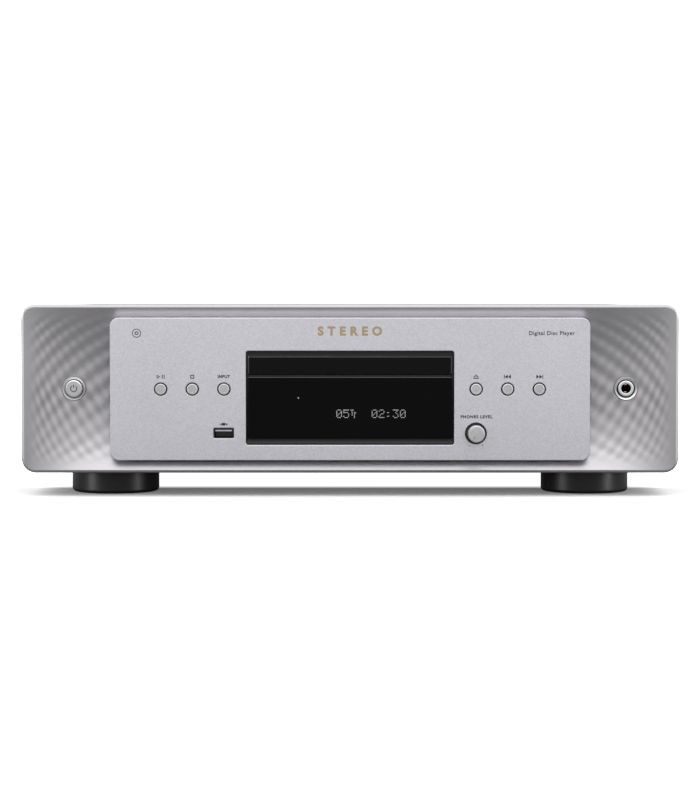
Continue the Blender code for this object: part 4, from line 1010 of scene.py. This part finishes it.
def screw(name, centre, facing, radius, height, material, node, stands=False):
    """Pan-head screw with a cross recess, which stands in for the node or is added to it."""
    shares = ((0, 1), (0.45, 1), (0.8, 0.82), (0.97, 0.45), (1, 0.15), (1, 0), (0, 0))
    head = turned(name, [(radius * a, height * b) for a, b in shares], centre, facing, 32)
    axis = AXIS[facing[1]] * (1 if facing[0] == "+" else -1)
    u, v = ACROSS[facing[1]]
    top = Vector(centre) + axis * height
    cutters = []
    for long_way, thin_way in ((u, v), (v, u)):
        reach = long_way * radius * 0.55 + thin_way * radius * 0.13
        reach = Vector([abs(c) for c in reach]) + Vector([abs(c) for c in axis]) * height * 0.5
        spans = [(a - b, a + b) for a, b in zip(top, reach)]
        cutters.append(box("cross", *spans))
    head = shade(cut(head, *cutters), 28)
    (stand_in if stands else detail)(head, node, material)


def cover_screws():
    for side, facing, side_name in ((-1, "-X", "left"), (1, "+X", "right")):
        for end_name in ("front", "rear"):
            node = "cover_screw_" + side_name + "_" + end_name
            _, y, z = extent(node)
            head = (side * (COVER_X[1] + 0.3), sum(y) / 2, sum(z) / 2)
            radius = (y[1] - y[0]) / 2
            screw(node + "_head", head, facing, radius, 1.6, PAINT_BLACK, node, True)


# Rear


def rear_panel():
    """Flat panel with its openings, a field of air slots and screws along its edges."""
    mid = (0.0, sum(REAR_Z) / 2)
    outline = rounded(REAR_X[1] - REAR_X[0], REAR_Z[1] - REAR_Z[0], 3.0, mid, 6)
    inlet_x, _, inlet_z = middle("ac_inlet")
    analog_x, digital_x = extent("analog_jacks")[0], extent("digital_jacks")[0]
    holes = [rectangle((inlet_x - 14.3, inlet_x + 14.3), (inlet_z - 10.3, inlet_z + 10.3))]
    holes += [circle(5.2, (x, JACK_Z)) for x in (analog_x[0] + 8, analog_x[1] - 8, COAXIAL_X)]
    holes.append(around((digital_x[0] + 10.0, JACK_Z), 5.2))
    left, low, pitch_x, pitch_z, reach = -90.0, 84.0, 14.0, 6.5, 4.2
    for row in range(5):
        for column in range(9):
            x, z = left + pitch_x * column, low + pitch_z * row
            holes.append(slot((x - reach, z), (x + reach, z), 1.2, 6))
    panel = prism("rear_panel_sheet", [outline] + holes, "Y", REAR_Y)
    panel = bake(bevel(panel, 0.15, 2))
    stand_in(shade(panel), "rear_panel", PAINT_BLACK)
    for index, x in enumerate((-205.0, -110.0, 0.0, 110.0, 205.0)):
        for level, z in (("low", REAR_Z[0] + 5.0), ("high", REAR_Z[1] - 5.0)):
            name = "rear_screw_" + level + "_" + str(index)
            screw(name, (x, REAR_Y[1], z), "+Y", radius=3.1, height=1.5, material=ZINC, node="rear_panel")


def phono_socket(name, x, z, node, ring_look):
    """Phono socket: plated barrel, coloured insulator round the inner contact, and a hexagon at its foot."""
    front = REAR_Y[1]
    length = extent(node)[1][1] - front
    profile = [(3.6, 0.0), (4.15, 0.0), (4.15, length - 0.4), (3.9, length), (3.3, length)]
    profile += [(3.1, length - 0.4), (3.1, 0.0)]
    detail(turned(name + "_barrel", profile, (x, front, z), "+Y", 48, ring=True), node, GOLD)
    core = [(1.5, 0.0), (3.05, 0.0), (3.05, length - 0.9), (2.8, length - 0.6), (1.75, length - 0.6)]
    core += [(1.5, length - 0.9)]
    detail(turned(name + "_insulator", core, (x, front, z), "+Y", 48, ring=True), node, ring_look)
    nut = prism(name + "_nut", [circle(6.4, (x, z), 6), circle(4.25, (x, z), 48)], "Y", (front, front + 1.4))
    detail(shade(bake(bevel(nut, 0.2, 2))), node, GOLD)


def rear_sockets():
    """Phono sockets and the words round them and round the mains inlet."""
    analog_x = extent("analog_jacks")[0]
    left, right = analog_x[0] + 8, analog_x[1] - 8
    phono_socket("phono_right", left, JACK_Z, "analog_jacks", RED_PLASTIC)
    phono_socket("phono_left", right, JACK_Z, "analog_jacks", WHITE_PLASTIC)
    phono_socket("coaxial", COAXIAL_X, JACK_Z, "digital_jacks", BLACK_PLASTIC)
    small, large = 2.2, 2.4
    above, below = JACK_Z + 10.5, JACK_Z - 10.0
    inlet_x, _, inlet_z = middle("ac_inlet")
    words = [(text, text, small, x, below) for text, x in (("R", left), ("L", right))]
    words += [("COAXIAL", "COAXIAL", small, COAXIAL_X, below), ("OPTICAL", "OPTICAL", small, 70.0, below)]
    words.append(("analog", "ANALOG OUT", large, (left + right) / 2, above))
    words.append(("digital", "DIGITAL OUT", large, 81.0, above))
    words.append(("mains", "AC IN", large, inlet_x, inlet_z + 16.0))
    for name, text, height, x, z in words:
        lettering("label_" + name, text, height, x, z, WHITE_INK, 1.05, back=True)


def mains_inlet():
    """Inlet with a softened flange, a recess with cut corners and three plated pins."""
    x, y, z = extent("ac_inlet")
    mid = (sum(x) / 2, sum(z) / 2)
    face = y[1]
    shape = [(-12, -8), (12, -8), (12, 3), (7.5, 8), (-7.5, 8), (-12, 3)]
    recess = [(mid[0] + a, mid[1] + b) for a, b in shape]
    flange = prism("mains_inlet_flange", [rounded(34.0, 25.0, 1.5, mid, 6), recess], "Y", (face - 1.5, face))
    stand_in(shade(bake(bevel(flange, 0.3, 2))), "ac_inlet", BLACK_PLASTIC)
    sleeve = [(mid[0] + a * 1.12, mid[1] + b * 1.12) for a, b in shape]
    tube = prism("mains_inlet_sleeve", [sleeve, recess], "Y", (face - 16.0, face - 1.0))
    detail(tube, "ac_inlet", BLACK_PLASTIC)
    back = prism("mains_inlet_floor", [sleeve], "Y", (face - 18.0, face - 16.0))
    detail(back, "ac_inlet", BLACK_PLASTIC)
    pin_y = (face - 16.0, face - 3.5)
    for index, (along, up) in enumerate(((-7.0, -2.0), (0.0, 2.0), (7.0, -2.0))):
        pin_x, pin_z = (mid[0] + along - 1, mid[0] + along + 1), (mid[1] + up - 2, mid[1] + up + 2)
        soft_box("mains_pin_" + str(index), pin_x, pin_y, pin_z, 0.4, "ac_inlet", BRIGHT, 3)


# Tray


def disc_tray():
    """Tray with round stepped recesses, runners and its rack."""
    x, y, z = extent("disc_tray")
    half, top = x[1], z[1]
    spindle_y = middle("turntable")[1]
    outline = rounded(2 * half, y[1] - y[0], 2.0, (0.0, sum(y) / 2), 5)
    tray = prism("disc_tray_deck", [outline], "Z", (top - 4.4, top))
    centre = (0.0, spindle_y)
    tools = [
        cylinder("disc_recess", 61.0, "Z", centre, (top - 2.4, top + 1), 160),
        cylinder("small_recess", 40.5, "Z", centre, (top - 3.2, top + 1), 128),
        cylinder("centre_hole", 17.0, "Z", centre, (top - 10, top + 1), 96),
        box("pickup_slot", (-16.5, 16.5), (spindle_y, y[1] + 1), (top - 10, top + 1)),
    ]
    tray = cut(tray, *tools)
    # This bevel is clamped to no width where the cuts meet. It only keeps the flat faces' shading clean.
    tray = bake(bevel(tray, 0.35, 2))
    stand_in(shade(tray, 28), "disc_tray", TRAY_BLACK)
    for side, name in ((-1, "left"), (1, "right")):
        spans = (sorted((side * 60.6, side * (half - 0.1))), (y[0] + 2, y[1] - 0.2), (z[0] + 2.0, top - 4.3))
        soft_box("tray_runner_" + name, *spans, 0.3, "disc_tray", TRAY_BLACK)
    rack(y, z[0])


def rack(tray_y, low):
    """Rack under the tray, as one toothed bar along it."""
    pitch, back, root, tip = PI, 57.5, 53.15, 51.15
    root_half, tip_half = 1.13, 0.42
    first, last = -179.0, tray_y[1] - 0.5
    points = [(back, last), (back, first), (root, first)]
    count = int((tray_y[1] - 2.0 - first) / pitch)
    gap_at = middle("tray_drive_gear")[1]
    start = gap_at + pitch * math.ceil((first - gap_at) / pitch + 0.5)
    for tooth in range(count - 1):
        y = start + (tooth - 0.5) * pitch
        if y + 1.2 > last:
            break
        points += [(root, y - root_half), (tip, y - tip_half), (tip, y + tip_half), (root, y + root_half)]
    points.append((root, last))
    bar = prism("tray_rack", [points], "Z", (low, low + 3.7))
    detail(bar, "disc_tray", TRAY_BLACK)


# Stage


def floor():
    """Pale floor. Reflections see it darker than the camera does, more so near the unit as painted shade, and
    painted light makes the strip under the unit glow.
    """
    bpy.ops.mesh.primitive_plane_add(size=14.0)
    ground = bpy.context.object
    ground.name = "floor"
    material = bpy.data.materials.new("pale_floor")
    ground.data.materials.append(material)
    material.use_nodes = True
    tree = material.node_tree
    tree.nodes.clear()
    place = add(tree, "TexCoord", {}).outputs["Object"]
    grain = add(tree, "TexNoise", {"Vector": place, "Scale": 90.0, "Detail": 2.0}).outputs["Fac"]
    seen = add(tree, "LightPath", {}).outputs["Is Camera Ray"]
    far = add(tree, "VectorMath", {0: place}, operation="LENGTH").outputs["Value"]
    # Painted shade: reflections see the floor darker near the unit
    reflected = spread(tree, far, *FLOOR_REFLECTED, *FAR_FLOOR)
    albedo = add(tree, "Mix", {0: seen, 2: reflected, 3: FLOOR_SEEN}, data_type="FLOAT").outputs[0]
    colour = tinted(tree, (1.0, 1.0, 1.0), product(tree, albedo, spread(tree, grain, 0.985, 1.0)))
    diffuse = add(tree, "BsdfDiffuse", {"Color": colour})
    parts = add(tree, "SeparateXYZ", {"Vector": place}).outputs
    # Painted light: a glow that only the camera sees whitens the floor under the unit, where its shadow
    # falls, weakest at its front
    behind = spread(tree, parts["Y"], 0.0, 1.0, UNDER_Y[0] * MM, UNDER_Y[1] * MM)
    width = add(tree, "Math", {0: parts["X"]}, operation="ABSOLUTE").outputs["Value"]
    inside = spread(tree, width, 1.0, 0.0, UNDER_SIDES[0] * MM, UNDER_SIDES[1] * MM)
    before_rear = spread(tree, parts["Y"], 1.0, 0.0, UNDER_REAR[0] * MM, UNDER_REAR[1] * MM)
    strip = product(tree, product(tree, inside, before_rear), seen)
    level = product(tree, strip, spread(tree, behind, UNDER_PAINTED_LIGHT[0], UNDER_PAINTED_LIGHT[1], 0.0, 1.0))
    far_level = product(tree, spread(tree, far, 0.0, 1.0, *FAR_FLOOR), seen)
    total = add(tree, "Math", {0: level, 1: far_level}, operation="ADD").outputs["Value"]
    glow = add(tree, "Emission", {"Color": (1, 1, 1, 1), "Strength": total})
    both = add(tree, "AddShader", {0: diffuse.outputs[0], 1: glow.outputs[0]})
    out = add(tree, "OutputMaterial", {"Surface": both.outputs[0]})
    out.is_active_output = True


def studio_world():
    """White for the camera. For light and reflections it goes from grey below to bright above."""
    world = bpy.data.worlds.new("studio")
    bpy.context.scene.world = world
    world.use_nodes = True
    tree = world.node_tree
    tree.nodes.clear()
    direction = add(tree, "TexCoord", {}).outputs["Generated"]
    parts = add(tree, "SeparateXYZ", {"Vector": direction}).outputs
    share = spread(tree, parts["Z"], 0.0, 1.0, -1.0, 1.0)
    aside = add(tree, "Math", {0: parts["X"]}, operation="ABSOLUTE").outputs["Value"]
    sides = spread(tree, aside, SKY_STRENGTH, SKY_STRENGTH * (1 + SIDE_GAIN), 0.0, 1.0)
    strength = product(tree, sides, spread(tree, parts["Y"], 1.0, 1 + BACK_GAIN, 0.3, 0.95))
    ramp = add(tree, "ValToRGB", {"Fac": share})
    elements = ramp.color_ramp.elements
    for place, _ in SKY_LEVELS[1:-1]:
        elements.new(place)
    for element, (place, level) in zip(elements, SKY_LEVELS):
        element.position = place
        element.color = (level, level, level, 1.0)
    seen = add(tree, "LightPath", {}).outputs["Is Camera Ray"]
    lit = add(tree, "Background", {"Color": ramp.outputs["Color"], "Strength": strength})
    white = add(tree, "Background", {"Color": (1, 1, 1, 1), "Strength": 1.05})
    mix = add(tree, "MixShader", {"Fac": seen, 1: lit.outputs[0], 2: white.outputs[0]})
    add(tree, "OutputWorld", {"Surface": mix.outputs[0]})


def softbox(name, place, target, size, power):
    """Soft lamp that looks at its target. Places are in metres."""
    data = bpy.data.lights.new(name, "AREA")
    data.shape = "RECTANGLE"
    data.size, data.size_y = size
    data.energy = power
    light = new_object(name, data)
    light.location = place
    light.rotation_euler = (Vector(target) - Vector(place)).to_track_quat("-Z", "Y").to_euler()
    light.visible_camera = False
    return light


def lights():
    """A broad softbox above, and two low ones that only draw highlights on the round feet."""
    feet_only = bpy.data.collections.new("feet")
    for obj in bpy.context.scene.objects:
        if obj.name.startswith("foot_") and obj.name.endswith("_pad"):
            feet_only.objects.link(obj)
    softbox("top_softbox", (0.0, -0.85, 1.25), target=(0.0, -0.1, 0.05), size=(2.6, 1.3), power=7.5)
    for side, name in ((-1, "left_softbox"), (1, "right_softbox")):
        place = (side * 1.35, -0.85, 0.25)
        light = softbox(name, place, target=(0.0, -0.1, 0.04), size=(0.32, 0.5), power=19.0)
        light.light_linking.receiver_collection = feet_only


def camera():
    """Long lens a little above the unit, level with the middle of its face across."""
    data = bpy.data.cameras.new("camera")
    distance, height, aim = 1.55, 0.135, 0.0651
    seen_height = 0.5368
    data.sensor_width = 36.0
    data.lens = data.sensor_width * distance / seen_height
    data.clip_start, data.clip_end = 0.05, 50.0
    obj = new_object("camera", data)
    face = PANEL_Y[0] * MM
    obj.location = (0.0, face - distance, height)
    obj.rotation_euler = (Vector((0.0, face, aim)) - obj.location).to_track_quat("-Z", "Y").to_euler()
    bpy.context.scene.camera = obj


finish_cad_nodes()
front_panel()
centre_plate()
window_lining()
glass_and_door()
display_digits()
push_buttons()
painted_gap_shade_rings()
power_button()
bezels()
phones_jack()
level_knob()
usb_port()
button_signs()
plate_printing()
feet()
top_cover()
cover_screws()
rear_panel()
rear_sockets()
mains_inlet()
disc_tray()
floor()
studio_world()
lights()
camera()
bpy.context.scene.view_settings.view_transform = "Standard"
